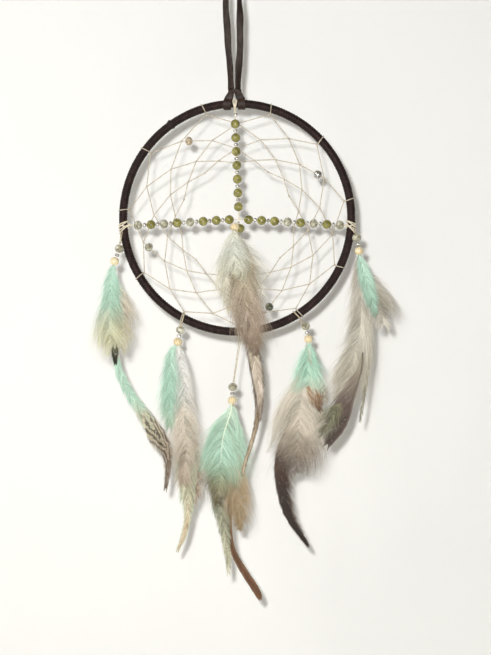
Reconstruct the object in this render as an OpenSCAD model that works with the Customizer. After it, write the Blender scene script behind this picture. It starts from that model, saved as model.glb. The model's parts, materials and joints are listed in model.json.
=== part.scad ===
// Dream catcher: a leather-wrapped hoop with a knotted web, two strands of
// beads that cross at its centre, and six bundles of feathers, hung from a
// loop of flat leather lace. Millimetres, +Z up, front towards -Y.
// The origin is the hook point, at the inside top of the hanger loop.

/* [Hoop] */
// Diameter of the hoop, to the middle of its tube
hoop_d = 149; // [146:0.5:152]
// Diameter of the metal ring inside the wrapping
ring_d = 3; // [2.4:0.1:3.2]
// Diameter of the hoop with its leather wrapping
wrap_d = 5.5; // [5:0.1:5.6]

/* [Hanger] */
// Height from the hook point down to the hoop's centre
hang_drop = 155; // [154:0.5:158]
// Width of the flat lace
lace_w = 4.4; // [4:0.1:4.8]
// Thickness of the flat lace
lace_t = 1.3; // [1:0.1:1.5]
// Width of the knot where it grips the hoop
knot_w = 16; // [14:0.5:18]

/* [Web] */
// Number of places where the web is hitched to the hoop
web_points = 11; // [9:1:12]
// Diameter of the web's thread
web_thread_d = 0.8; // [0.6:0.05:0.9]
// Direction of the first hitch, in degrees from +X
web_start = 74; // [70:1:78]

/* [Beads] */
// Diameter of the round green beads
round_bead_d = 6.1; // [5.6:0.1:6.2]
// Diameter of the faceted beads
facet_bead_d = 6.2; // [5.6:0.1:6.4]
// Diameter of the small silver spacers
spacer_d = 3; // [2.6:0.1:3.2]
// Diameter of the wooden beads
wood_bead_d = 5.8; // [5:0.1:6]
// Diameter of the beads knotted into the web
web_bead_d = 5.8; // [5:0.1:6]
// Diameter of the beading thread
bead_thread_d = 0.9; // [0.7:0.05:1]

/* [Feathers] */
// Share of the feathers' length that is modelled, 1 for all of it
feather_len = 1; // [0.9:0.01:1]

/* [Hidden] */
$fn = 48;

WEB_BEADS = ["beige", "silver_round", "silver_faceted", "green_faceted"];

// Colours
leather = "#3a2c28";
metal = "#8d8d8a";
cream_thread = "#d6c9a8";
olive = "#8b8b3e";
picasso = "#9fa48c";
silver = "#c9c9c4";
pale_wood = "#ecd9a8";
mint = "#a8e0c4";
cream = "#e6e0cc";
tan = "#b79a72";
brown = "#5b4433";

// The hoop's centre, its radii and the clearance of a bead or loop on what it runs on
hoop_x = 2.5;
hoop_centre = [hoop_x, 0, -hang_drop];
hoop_r = hoop_d / 2;
wrap_r = wrap_d / 2;
bore_gap = 0.08;
slack = 0.3;

// Where the three bead strands meet, and how far they stand in front of the web
strand_y = -3.6;
crossing = [1.1, -1.2];

// Inner radii of the web's rounds of knots, as shares of the hoop's radius, and how far
// each round has slipped down
web_rounds = [0.846, 0.732, 0.627, 0.544, 0.5];
web_slip = 1.6;
// How far round each hitch has slid from its even place, in degrees
hitch_slide = [-1.4, 0.3, 4, 3.8, 5.8, 3, -0.2, -0.2, -1.7, 0.3, 1.4];
hitch_r = wrap_r + web_thread_d / 2 + 0.05;
// How far inside its loop on the hoop a hitch's two threads part
hitch_neck = 1;

// ---------------------------------------------------------------- helpers

function on_hoop(angle, r) = [hoop_x + r * cos(angle), -hang_drop + r * sin(angle)];
function xz(p, y) = [p[0], y, p[1]];
function mix(a, b, t) = a + (b - a) * t;
function unit(v) = v / norm(v);

// A round bar from one point to another
module bar(from, to, r, sides = 24) {
    run = to - from;
    translate(from)
        rotate([0, acos(run[2] / norm(run)), atan2(run[1], run[0])])
            cylinder(h = norm(run), r = r, $fn = sides);
}

// Stands its children along the line between two points, at a share of the way
module along(from, to, share) {
    run = to - from;
    translate(mix(from, to, share))
        rotate([0, acos(run[2] / norm(run)), atan2(run[1], run[0])])
            children();
}

// A ring in the plane of the hoop
module hoop_torus(tube_r) {
    translate(hoop_centre)
        rotate([90, 0, 0])
            rotate_extrude($fn = 96)
                translate([hoop_r, 0])
                    circle(r = tube_r, $fn = 32);
}

// A loop of thread around the hoop's tube, at a direction from its centre
module tube_loop(angle, loop_r, thread_r, sides = 24) {
    translate(xz(on_hoop(angle, hoop_r), 0))
        rotate([0, -angle, 0])
            rotate_extrude($fn = sides)
                translate([loop_r, 0])
                    circle(r = thread_r, $fn = max(5, sides / 3));
}

// ---------------------------------------------------------------- beads

module round_bead(d, bore_d) {
    difference() {
        sphere(d = d);
        cylinder(d = bore_d, h = d + 1, center = true);
    }
}

// A cut bead: a barrel of straight cuts, a little shorter than it is wide
module cut_bead(d, bore_d) {
    r = d / 2;
    difference() {
        rotate_extrude()
            polygon([
                [0, -0.92 * r], [0.45 * r, -0.92 * r], [0.88 * r, -0.46 * r], [r, 0],
                [0.88 * r, 0.46 * r], [0.45 * r, 0.92 * r], [0, 0.92 * r]
            ]);
        cylinder(d = bore_d, h = d + 1, center = true);
    }
}

module spacer(d, length, bore_d) {
    difference() {
        cylinder(d = d, h = length, center = true);
        cylinder(d = bore_d, h = length + 1, center = true);
    }
}

// ---------------------------------------------------------------- hanger

// The lace's route, from the knot up one side, over the hook and down the other:
// [x, z, half its size across the loop]. It lies face on beside the hoop and turns
// on edge over the hook.
lace_route = [
    [-1.4, -71, 2], [-1.6, -66, 2], [-2.2, -58, 2.1], [-2.9, -50, 2.1], [-3.6, -40, 2.2],
    [-4.2, -30, 2.2], [-4.8, -20, 2.1], [-5, -13, 1.9], [-4.9, -8, 1.4], [-4.3, -4, 0.9],
    [-2.8, -0.8, 0.65], [-0.4, 0.65, 0.65], [2, -0.8, 0.65], [3.5, -4, 0.9], [4, -8, 1.4],
    [4, -13, 1.9], [4.1, -20, 2.1], [4.3, -30, 2.2], [4.3, -40, 2.2], [4, -50, 2.1],
    [3.5, -58, 2.1], [3, -66, 2], [2.9, -71, 2]
];

module hanger_lace() {
    n = len(lace_route);
    sides = 8;
    // the lace's sides add up to the same whichever way it faces
    around = lace_w / 2 + lace_t / 2;
    function at(i) = [lace_route[i][0], 0, lace_route[i][1]];
    function way(i) = unit(at(min(i + 1, n - 1)) - at(max(i - 1, 0)));
    function across(i) = let (w = way(i)) [w[2], 0, -w[0]];
    function ring(i) = let (a = lace_route[i][2], b = around - a)
        [for (s = [0:sides - 1])
            at(i) + across(i) * a * cos(s * 360 / sides) + [0, b * sin(s * 360 / sides), 0]];
    color(leather)
        polyhedron(
            points = [for (i = [0:n - 1]) each ring(i)],
            faces = concat(
                [[for (s = [0:sides - 1]) s]],
                [for (i = [0:n - 2]) for (s = [0:sides - 1]) let (t = (s + 1) % sides)
                    [i * sides + s, (i + 1) * sides + s, (i + 1) * sides + t, i * sides + t]],
                [[for (s = [sides - 1:-1:0]) (n - 1) * sides + s]]
            )
        );
}

// The lark's head knot that holds the hoop: its wraps, and the neck under the lace
module hanger_knot() {
    top = lace_route[0][1] - slack;
    hoop_top = -hang_drop + hoop_r;
    mid = (lace_route[0][0] + lace_route[len(lace_route) - 1][0]) / 2;
    neck_w = 9.5;
    neck_d = 5.5;
    gap_w = 2;
    gap_deep = 3;
    color(leather)
        difference() {
            union() {
                intersection() {
                    hoop_torus(wrap_r + slack + lace_t);
                    translate([mid, 0, hoop_top])
                        cube([knot_w, 2 * knot_w, knot_w], center = true);
                }
                translate([mid, neck_d / 2, 0])
                    rotate([90, 0, 0])
                        linear_extrude(neck_d)
                            polygon([
                                [-neck_w / 2, top], [neck_w / 2, top],
                                [knot_w / 2, hoop_top + wrap_r], [knot_w / 2 - 1, hoop_top],
                                [1 - knot_w / 2, hoop_top], [-knot_w / 2, hoop_top + wrap_r]
                            ]);
            }
            hoop_torus(wrap_r + slack);
            // the gap between the two wraps, where the bead strand's thread runs up
            translate([top_tie[0] - gap_w / 2, -gap_deep - neck_d, top_tie[2]])
                cube([gap_w, neck_d + gap_deep / 2, hoop_top + 5.5 - top_tie[2]]);
        }
}

// ---------------------------------------------------------------- hoop

module hoop_ring() {
    color(metal) hoop_torus(ring_d / 2);
}

module hoop_wrap() {
    color(leather)
        difference() {
            hoop_torus(wrap_r);
            hoop_torus(ring_d / 2);
        }
}

// ---------------------------------------------------------------- web

function hitch_angle(i) =
    web_start + i * 360 / web_points + hitch_slide[i % len(hitch_slide)];

// Direction of a knot: halfway between the two knots it hangs from
function knot_angle(round, i) =
    round == 0
    ? hitch_angle(i)
    : (knot_angle(round - 1, i) + knot_angle(round - 1, i + 1)) / 2;

// A knot of the web: round 0 is at the hoop, and each later round sits half a step on
function web_knot(round, i) =
    round == 0
    ? on_hoop(hitch_angle(i), hoop_r - hitch_r - hitch_neck)
    : on_hoop(knot_angle(round, i), hoop_r * web_rounds[round - 1]) - [0, web_slip];

// The web: hitches round the hoop, each round strung between the knots outside it
module web_thread() {
    r = web_thread_d / 2;
    loop_sides = 10;
    color(cream_thread)
        for (i = [0:web_points - 1]) {
            tube_loop(hitch_angle(i), hitch_r / cos(180 / loop_sides), r, loop_sides);
            hull() bar(xz(on_hoop(hitch_angle(i), hoop_r - hitch_r), 0),
                xz(web_knot(0, i), 0), r, 5);
            for (round = [0:len(web_rounds) - 1]) {
                knot = xz(web_knot(round + 1, i), 0);
                translate(knot)
                    sphere(r = 1.6 * r, $fn = 6);
                hull() bar(xz(web_knot(round, i), 0), knot, r, 5);
                hull() bar(knot, xz(web_knot(round, i + 1), 0), r, 5);
            }
        }
}

// Each web bead sits on a thread just inside one of the first round's knots:
// [which knot, which of its two inner threads, share of the way along]
function web_bead_place(name) =
    name == "beige" ? [1, -1, 0.24]
    : name == "silver_round" ? [9, 0, 0.26]
    : name == "silver_faceted" ? [3, 0, 0.26]
    : [6, 0, 0.26];

module web_bead(name) {
    place = web_bead_place(name);
    from = xz(web_knot(1, place[0]), 0);
    to = xz(web_knot(2, place[0] + place[1]), 0);
    bore_d = web_thread_d + 2 * bore_gap;
    along(from, to, place[2])
        if (name == "silver_round") color(silver) round_bead(web_bead_d, bore_d);
        else if (name == "beige") color(tan) cut_bead(web_bead_d, bore_d);
        else if (name == "silver_faceted") color(picasso) cut_bead(web_bead_d, bore_d);
        else color(olive) cut_bead(web_bead_d, bore_d);
}

// ---------------------------------------------------------------- bead strands

// The three straight runs of beads meet where they cross
crossing_at = [hoop_x + crossing[0], strand_y, crossing[1] - hang_drop];
top_tie = [hoop_x - 1.5, strand_y, hoop_r - wrap_r - 4.7 - hang_drop];
left_tie = [hoop_x - hoop_r + wrap_r + 0.5, strand_y, -5.8 - hang_drop];
right_tie = [hoop_x + hoop_r - wrap_r - 0.5, strand_y, -5.4 - hang_drop];
// Spacing of the beads along their threads, and how far the first is from the crossing
vertical_pitch = 9;
cross_pitch = 8.5;
vertical_first = 8;
cross_first = 6.3;
spacer_len = 1.9;
strand_bore = bead_thread_d + 2 * bore_gap;

// Copies of a bead along a run from the crossing, at the given places
module bead_row(to, first, pitch, which) {
    for (i = which)
        along(crossing_at, to, (first + i * pitch) / norm(to - crossing_at))
            children();
}

// The loops of thread that hold one end of the cross strand to the hoop
module side_tie(angle, knot) {
    loops = 4;
    for (i = [0:loops - 1])
        tube_loop(angle + (i - (loops - 1) / 2) * 1.1, hitch_r + 0.1, bead_thread_d / 2);
    translate(knot)
        sphere(d = 2.4);
}

module vertical_thread() {
    knot_end = [top_tie[0], top_tie[1], hoop_r + 4 - hang_drop];
    start = crossing_at + unit(top_tie - crossing_at) * (bead_thread_d / 2 + 0.05);
    color(cream_thread) {
        bar(start, top_tie, bead_thread_d / 2);
        bar(top_tie, knot_end, bead_thread_d / 2);
        translate(top_tie)
            sphere(d = 2.4);
    }
}

module vertical_green_beads() {
    color(olive)
        bead_row(top_tie, vertical_first, vertical_pitch, [0:6])
            round_bead(round_bead_d, strand_bore);
}

module vertical_spacers() {
    color(silver)
        bead_row(top_tie, vertical_first + vertical_pitch / 2, vertical_pitch, [0:5])
            spacer(spacer_d, spacer_len, strand_bore);
}

module cross_thread() {
    color(cream_thread) {
        bar(left_tie, crossing_at, bead_thread_d / 2);
        bar(crossing_at, right_tie, bead_thread_d / 2);
        side_tie(184.3, left_tie);
        side_tie(-4.1, right_tie);
    }
}

module cross_green_beads() {
    color(olive)
        for (side = [left_tie, right_tie])
            bead_row(side, cross_first, cross_pitch, [0, 1, 2, 4, 6])
                round_bead(round_bead_d, strand_bore);
}

module cross_faceted_beads() {
    color(picasso)
        for (side = [left_tie, right_tie])
            bead_row(side, cross_first, cross_pitch, [3, 5, 7])
                cut_bead(facet_bead_d, strand_bore);
}

module cross_spacers() {
    color(silver)
        for (side = [left_tie, right_tie])
            bead_row(side, cross_first + cross_pitch / 2, cross_pitch, [0:6])
                spacer(spacer_d, spacer_len, strand_bore);
}

// ---------------------------------------------------------------- feather bundles

// Each bundle: its name, the depth it hangs at, the spacing of its layers of feathers,
// the direction of its thread's loop on the hoop (or undef), the top of its thread as
// [x, z] from the hoop's centre, its beads and its feathers. A bead is its name and
// [x, z, distance behind the bundle] from the hoop's centre, the first at the top. A
// feather is its name, its colour and its route of [x, z, half width] from the centre
// of the wooden bead, which is last.
NAME = 0;
DEPTH = 1;
LAYER = 2;
LOOP = 3;
TOP = 4;
BEADS = 5;
FEATHERS = 6;

left_bundle = ["left", -6.7, 2.7, undef, [-75, -9.5],
    [["cut_bead", [-76.5, -20.7, 0]], ["spacer", [-78, -24.8, 0]],
        ["wood_bead", [-79.5, -28.8, 0]]],
    [
        ["down", mint, [[-0.5, -3, 1.3], [-1.5, -15, 6], [-1.5, -28, 8], [-1.8, -41, 10.5],
            [-1, -53, 9], [0.5, -63, 2]]],
        ["hackle", brown, [[0, -3, 1], [0, -30, 2.5], [1, -65, 2.8], [9.3, -84, 3.4],
            [16, -96, 3.8], [26.5, -112, 5], [33.5, -124, 3.8], [34.2, -130, 1.7],
            [34, -137, 1.4], [33.5, -143, 1.3], [32.5, -150, 0.5]]]
    ]];

lower_left_bundle = ["lower_left", 4.4, 1.7, 241.7, [-36.8, -68.8],
    [["cut_bead", [-37.2, -73.3, 0]], ["spacer", [-38.1, -77.3, 0]],
        ["wood_bead", [-39.1, -81.2, 0]]],
    [
        ["down", mint, [[-1, -3, 1.3], [-2.3, -12, 5.5], [-5, -25, 6], [-6.2, -38, 5.2],
            [-6.9, -51, 3.6], [-7.5, -61, 0.8]]],
        ["plume", cream, [[1, -3, 1.2], [3, -22, 4.5], [5, -38, 5.5], [6.4, -56, 6.4],
            [8, -72, 4.8], [8.5, -82, 1]]],
        ["hackle", brown, [[1.5, -3, 1], [4, -40, 2.8], [5.5, -70, 4.6], [5.8, -86, 6.2],
            [6.5, -99, 5.2], [6.8, -112, 2.4], [6, -119, 1.5], [3.8, -128, 1.6],
            [-1, -138.5, 0.5]]]
    ]];

bottom_bundle = ["bottom", -0.6, 1.1, 271.5, [1.9, -78],
    [["cut_bead", [-2.9, -110.6, 0]], ["spacer", [-3.1, -114.9, 0]],
        ["wood_bead", [-3.3, -119.3, 0]]],
    [
        ["down", mint, [[0, -3, 1.3], [-0.8, -14, 7.5], [-3.5, -28, 13], [-5, -42, 14],
            [-7.5, -52, 9.5], [-10, -66, 2]]],
        ["plume", tan, [[0.5, -3, 1], [2, -33, 3], [2.6, -50, 5.5], [3.6, -64, 6.5],
            [4.6, -76, 4.2], [5.2, -85, 1]]],
        ["hackle", brown, [[-0.5, -3, 0.8], [-5, -45, 3], [-9, -58, 4.5], [-8, -70, 4.6],
            [-5.5, -82, 3.6], [-3.5, -95, 2.2], [-2.6, -106, 1.5], [-2.2, -114, 0.6]]],
        ["quill", brown, [[-0.5, -3, 0.8], [-1.5, -60, 1.2], [-1.8, -82, 1.3],
            [0, -97, 1.6], [5.5, -108.5, 2], [13, -120, 2.2], [17.8, -127.8, 2],
            [19.4, -130.5, 1.1]]]
    ]];

lower_right_bundle = ["lower_right", -1.4, 1.1, 301.4, [40.7, -66.7],
    [["cut_bead", [44.6, -70.8, 0]], ["spacer", [45.6, -75, 0]],
        ["wood_bead", [46.5, -79.3, 0]]],
    [
        ["down", mint, [[0, -3, 1.3], [-0.8, -12, 5], [-1, -22, 7], [-1.5, -31, 6],
            [-2, -37, 1.2]]],
        ["quill", tan, [[0.5, -3, 0.8], [1.5, -26, 3], [4, -37, 5.5], [6.5, -44, 4],
            [8.5, -48.5, 0.6]]],
        ["plume", cream, [[-0.5, -3, 1], [-2, -25, 5], [-3.5, -36, 11], [-5.5, -50, 16],
            [-6.3, -65, 16.5], [-7.8, -75, 13], [-10, -82, 8], [-12, -88, 2]]],
        ["hackle", brown, [[-0.5, -3, 0.8], [-9, -50, 2.5], [-14.5, -68, 4.2],
            [-16.6, -80, 5.4], [-16.7, -91, 5], [-15.6, -103, 4], [-11.2, -118, 2.5],
            [1, -136.5, 0.5]]]
    ]];

right_bundle = ["right", -6.7, 1.35, undef, [75, -6.4],
    [["cut_bead", [77.6, -13.4, 0]], ["spacer", [78.4, -17.7, 0]],
        ["wood_bead", [79.1, -22, 0]]],
    [
        ["down", mint, [[0.5, -3, 1.3], [2.5, -12, 6], [6, -22, 9], [10.5, -32, 11],
            [14, -41, 8], [16, -49, 2]]],
        ["plume", cream, [[0, -3, 1], [0, -20, 4.5], [0.8, -42, 5.8], [-0.5, -60, 6.8],
            [-4.6, -75, 8.2], [-8, -88, 7.5], [-10.5, -97, 4], [-12.5, -104, 1]]],
        ["hackle", brown, [[0.8, -3, 0.8], [2.5, -45, 1.5], [1, -74, 2], [-3, -85, 4.2],
            [-8.6, -95, 6], [-13.2, -107, 6.8], [-17.8, -117, 5.8], [-21, -124, 3.4],
            [-23, -129, 0.8]]],
        ["quill", brown, [[1.2, -3, 0.6], [7, -50, 1], [6.5, -70, 1.1], [4, -90, 1],
            [0.5, -112, 0.5]]]
    ]];

centre_bundle = ["centre", -9.8, 1.6, undef, [0.8, -2.9],
    [["green_bead", [1.8, -7.4, 5.6]], ["wood_bead", [-1.5, -6.8, 0]]],
    [
        ["down", cream, [[0, -3, 1.5], [-0.5, -8, 6], [-0.5, -16, 9], [1, -24, 7.5],
            [2.5, -31, 2]]],
        ["plume", tan, [[0.5, -3, 1.2], [4, -20, 6], [6, -38, 8], [7.8, -54, 8.6],
            [11.2, -67, 7.6], [13, -76, 4], [14, -83, 1]]],
        ["hackle", brown, [[1, -3, 1], [7, -50, 2.2], [10, -72, 3.4], [14, -92, 4],
            [16.2, -110, 2.4], [16, -126, 0.5]]],
        ["quill", brown, [[0.5, -3, 0.8], [6, -55, 1.5], [10, -80, 2], [14.5, -105, 2.2],
            [15, -122, 1.6], [13, -132, 1.2], [9.8, -143, 1], [6.5, -153, 0.8],
            [4.6, -162, 0.4]]]
    ]];

ALL_BUNDLES = [
    left_bundle, lower_left_bundle, bottom_bundle,
    lower_right_bundle, right_bundle, centre_bundle
];

// A point of a bundle, from its place against the hoop's centre
function hung(p, y) = [hoop_x + p[0], y, p[1] - hang_drop];

// A smooth curve through a list of points, with extra points on every stretch
function curve_point(p0, p1, p2, p3, t) =
    0.5 * (2 * p1 + (p2 - p0) * t + (2 * p0 - 5 * p1 + 4 * p2 - p3) * t * t
        + (3 * p1 - p0 - 3 * p2 + p3) * t * t * t);
function smooth(route, steps) =
    let (n = len(route))
    concat(
        [for (i = [0:n - 2]) for (s = [0:steps - 1])
            curve_point(route[max(i - 1, 0)], route[i], route[i + 1],
                route[min(i + 2, n - 1)], s / steps)],
        [route[n - 1]]
    );

// A feather as a thin blade along its route
module feather(route, thickness) {
    line = smooth(route * feather_len, 3);
    n = len(line);
    function way(i) = let (v = line[min(i + 1, n - 1)] - line[max(i - 1, 0)])
        unit([v[0], v[1]]);
    function edge(i, side) = let (w = way(i), half = max(line[i][2], 0.4) * side)
        [line[i][0] - w[1] * half, line[i][1] + w[0] * half];
    translate([0, thickness / 2, 0])
        rotate([90, 0, 0])
            linear_extrude(thickness)
                polygon(concat(
                    [for (i = [0:n - 1]) edge(i, 1)],
                    [for (i = [n - 1:-1:0]) edge(i, -1)]
                ));
}

// The thread that a bundle hangs by, down to just above its first bead, with its loop
module bundle_thread(b) {
    y = b[DEPTH];
    r = bead_thread_d / 2;
    first = b[BEADS][0][1];
    top = hung(b[TOP], b[LOOP] == undef ? y + first[2] : 0);
    bead = hung(first, y + first[2]);
    length = norm(bead - top) - facet_bead_d / 2 - slack;
    color(cream_thread) {
        bar(top, top + unit(bead - top) * length, r);
        if (b[LOOP] != undef)
            tube_loop(b[LOOP], hitch_r + 0.2, r);
    }
}

// One of a bundle's beads, threaded in line with the others
module bundle_bead(b, bead) {
    beads = b[BEADS];
    last = len(beads) - 1;
    line = hung(beads[last][1], 0) - hung(beads[0][1], 0);
    lean = last > 1 ? line : [0, 0, -1];
    at = hung(bead[1], b[DEPTH] + bead[1][2]);
    along(at, at + lean, 0)
        if (bead[0] == "cut_bead") color(picasso) cut_bead(facet_bead_d, strand_bore);
        else if (bead[0] == "spacer") color(silver) spacer(spacer_d, spacer_len, strand_bore);
        else if (bead[0] == "green_bead") color(olive) round_bead(round_bead_d, strand_bore);
        else color(pale_wood) round_bead(wood_bead_d, strand_bore);
}

// One of a bundle's feathers, in its own layer, the first at the front
module bundle_feather(b, i) {
    beads = b[BEADS];
    from = beads[len(beads) - 1][1];
    count = len(b[FEATHERS]);
    y = b[DEPTH] + (i - (count - 1) / 2) * b[LAYER];
    color(b[FEATHERS][i][1])
        translate(hung(from, y))
            feather(b[FEATHERS][i][2], b[LAYER] - 0.2);
}

// ---------------------------------------------------------------- nodes

hanger_lace();
hanger_knot();
hoop_ring();
hoop_wrap();
web_thread();
vertical_thread();
vertical_green_beads();
vertical_spacers();
cross_thread();
cross_green_beads();
cross_faceted_beads();
cross_spacers();
for (name = WEB_BEADS)
    web_bead(name);
for (b = ALL_BUNDLES) {
    bundle_thread(b);
    for (bead = b[BEADS])
        bundle_bead(b, bead);
    for (i = [0:len(b[FEATHERS]) - 1])
        bundle_feather(b, i);
}
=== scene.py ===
"""Looks of the dream catcher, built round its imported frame.

Shapes are worked out in millimetres, in the frame's own axes (+X right, +Y back, +Z up),
and MM turns them into Blender's metres when a mesh is made.
"""

import json
import math

import bpy
import numpy as np
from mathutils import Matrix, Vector


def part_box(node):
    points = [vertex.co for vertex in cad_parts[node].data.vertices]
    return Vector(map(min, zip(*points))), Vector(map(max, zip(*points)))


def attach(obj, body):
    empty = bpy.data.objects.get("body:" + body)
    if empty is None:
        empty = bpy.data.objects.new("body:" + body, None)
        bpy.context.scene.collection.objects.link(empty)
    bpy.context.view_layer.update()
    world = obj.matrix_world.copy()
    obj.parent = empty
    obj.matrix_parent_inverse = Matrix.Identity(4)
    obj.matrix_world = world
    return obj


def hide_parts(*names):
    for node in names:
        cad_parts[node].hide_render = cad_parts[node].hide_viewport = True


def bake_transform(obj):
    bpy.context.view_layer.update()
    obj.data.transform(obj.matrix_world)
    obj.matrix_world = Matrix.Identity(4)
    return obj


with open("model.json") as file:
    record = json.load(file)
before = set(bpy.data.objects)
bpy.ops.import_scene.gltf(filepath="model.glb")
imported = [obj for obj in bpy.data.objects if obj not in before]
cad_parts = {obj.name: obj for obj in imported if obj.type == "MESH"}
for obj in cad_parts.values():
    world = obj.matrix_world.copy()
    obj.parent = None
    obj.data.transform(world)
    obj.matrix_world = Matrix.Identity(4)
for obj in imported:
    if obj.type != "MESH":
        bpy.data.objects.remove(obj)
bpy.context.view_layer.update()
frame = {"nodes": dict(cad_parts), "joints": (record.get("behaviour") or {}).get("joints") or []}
NODES = frame["nodes"]
JOINTS = {joint["name"]: joint for joint in frame["joints"]}
MM = 0.001
FRONT = np.array([0.0, -1.0, 0.0])
UP = np.array([0.0, 0.0, 1.0])


# ------------------------------------------------------------------ places in the frame

def box_mm(node):
    """Lowest and highest corners of a CAD node."""
    low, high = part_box(node)
    return np.array(low) / MM, np.array(high) / MM


def centre_mm(node):
    low, high = box_mm(node)
    return (low + high) / 2


wrap_low, wrap_high = box_mm("hoop_wrap")
HOOP = (wrap_low + wrap_high) / 2
TUBE_R = (wrap_high[1] - wrap_low[1]) / 2
HOOP_R = (wrap_high[0] - wrap_low[0]) / 2 - TUBE_R

# The web's rule, as the frame has it
WEB_POINTS = 11
WEB_START = 74.0
WEB_ROUNDS = [0.846, 0.732, 0.627, 0.544, 0.5]
WEB_SLIP = 1.6
WEB_THREAD_R = 0.36
HITCH_NECK = 1.0
# How far each hitch has slid from its even place, in degrees
HITCH_SLIDE = [-1.4, 0.3, 4, 3.8, 5.8, 3, -0.2, -0.2, -1.7, 0.3, 1.4]


def on_hoop(angle, radius, y=0.0):
    turn = math.radians(angle)
    return HOOP + np.array([radius * math.cos(turn), y, radius * math.sin(turn)])


def hitch_angle(i):
    return WEB_START + i * 360.0 / WEB_POINTS + HITCH_SLIDE[i % WEB_POINTS]


def knot_angle(ring, i):
    if ring == 0:
        return hitch_angle(i)
    return (knot_angle(ring - 1, i) + knot_angle(ring - 1, i + 1)) / 2


def web_knot(ring, i):
    """A knot of the web: ring 0 is at the hoop, and each later one sits between two before it."""
    if ring == 0:
        return on_hoop(hitch_angle(i), HOOP_R - TUBE_R - 0.45 - HITCH_NECK)
    return on_hoop(knot_angle(ring, i), HOOP_R * WEB_ROUNDS[ring - 1]) - WEB_SLIP * UP


def islands(node):
    """Centres of the separate solids of a CAD node, in order along the row."""
    mesh = NODES[node].data
    points = np.array([v.co for v in mesh.vertices]) / MM
    keys, same = np.unique(np.round(points, 3), axis=0, return_inverse=True)
    same = same.reshape(-1)
    parent = list(range(len(keys)))

    def root(i):
        while parent[i] != i:
            parent[i] = parent[parent[i]]
            i = parent[i]
        return i

    for polygon in mesh.polygons:
        first = root(same[polygon.vertices[0]])
        for v in polygon.vertices[1:]:
            parent[root(same[v])] = first
    groups = {}
    for i, point in enumerate(keys):
        groups.setdefault(root(i), []).append(point)
    centres = [(np.min(g, axis=0) + np.max(g, axis=0)) / 2 for g in groups.values()]
    return sorted(centres, key=lambda c: (round(c[0] - c[2] * 20) if "vertical" in node else c[0]))


# ------------------------------------------------------------------ shapes

class Shape:
    """Collects the points and faces of one piece, with a mark of three numbers on each point."""

    def __init__(self):
        self.points, self.faces, self.marks, self.count = [], [], [], 0

    def add(self, points, faces, marks=(0.0, 0.0, 0.0)):
        points = np.asarray(points, float).reshape(-1, 3)
        marks = np.broadcast_to(np.asarray(marks, float), points.shape)
        self.points.append(points)
        self.marks.append(marks)
        self.faces.extend((np.asarray(faces) + self.count).tolist())
        self.count += len(points)

    def piece(self, name, material, body, replaces=(), slot=None, smooth=True):
        """Makes the Blender object, and ties it to its body and the CAD nodes it stands for."""
        mesh = bpy.data.meshes.new(name)
        mesh.from_pydata((np.concatenate(self.points) * MM).tolist(), [], self.faces)
        marks = mesh.attributes.new("mark", "FLOAT_VECTOR", "POINT")
        marks.data.foreach_set("vector", np.concatenate(self.marks).astype(np.float32).ravel())
        mesh.polygons.foreach_set("use_smooth", [smooth] * len(mesh.polygons))
        mesh.materials.append(material)
        mesh.update()
        piece = bpy.data.objects.new(name, mesh)
        bpy.context.scene.collection.objects.link(piece)
        if body:
            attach(piece, body)
        if replaces:
            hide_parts(*replaces)
        return piece


def grid(rows, columns, round_columns=False, round_rows=False):
    """Faces of a grid of points, in rows, that may close on itself either way."""
    last_row = rows if round_rows else rows - 1
    last_column = columns if round_columns else columns - 1
    i, j = np.meshgrid(np.arange(last_row), np.arange(last_column), indexing="ij")
    after, beside = (i + 1) % rows, (j + 1) % columns
    corners = [i * columns + j, after * columns + j, after * columns + beside, i * columns + beside]
    return np.stack(corners, -1).reshape(-1, 4)


def unit(v):
    v = np.asarray(v, float)
    return v / np.maximum(np.linalg.norm(v, axis=-1, keepdims=True), 1e-9)


def lengths_along(points):
    steps = np.linalg.norm(np.diff(points, axis=0), axis=1)
    return np.concatenate([[0.0], np.cumsum(steps)])


def evenly(points, step):
    """The same line with its points a step apart."""
    points = np.asarray(points, float)
    s = lengths_along(points)
    at = np.linspace(0, s[-1], max(2, int(round(s[-1] / step)) + 1))
    return np.stack([np.interp(at, s, points[:, k]) for k in range(3)], 1)


def curve(points, step):
    """A smooth curve through the points, with its own points a step apart."""
    p = np.asarray(points, float)
    p = np.vstack([2 * p[0] - p[1], p, 2 * p[-1] - p[-2]])
    t = np.linspace(0, 1, 13)[:-1, None]
    parts = []
    for a, b, c, d in zip(p, p[1:], p[2:], p[3:]):
        parts.append(0.5 * (2 * b + (c - a) * t + (2 * a - 5 * b + 4 * c - d) * t ** 2
                            + (3 * b - a - 3 * c + d) * t ** 3))
    return evenly(np.vstack(parts + [p[-2:-1]]), step)


def frames(points):
    """Two directions across a line, at each of its points, that turn as little as they can."""
    points = np.asarray(points, float)
    along = unit(np.gradient(points, axis=0))
    first = np.empty_like(along)
    side = np.cross(along[0], FRONT)
    if np.linalg.norm(side) < 1e-3:
        side = np.cross(along[0], UP + 0.3 * FRONT)
    for i, way in enumerate(along):
        side = unit(side - way * (side @ way))
        first[i] = side
    return first, np.cross(along, first)


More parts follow.
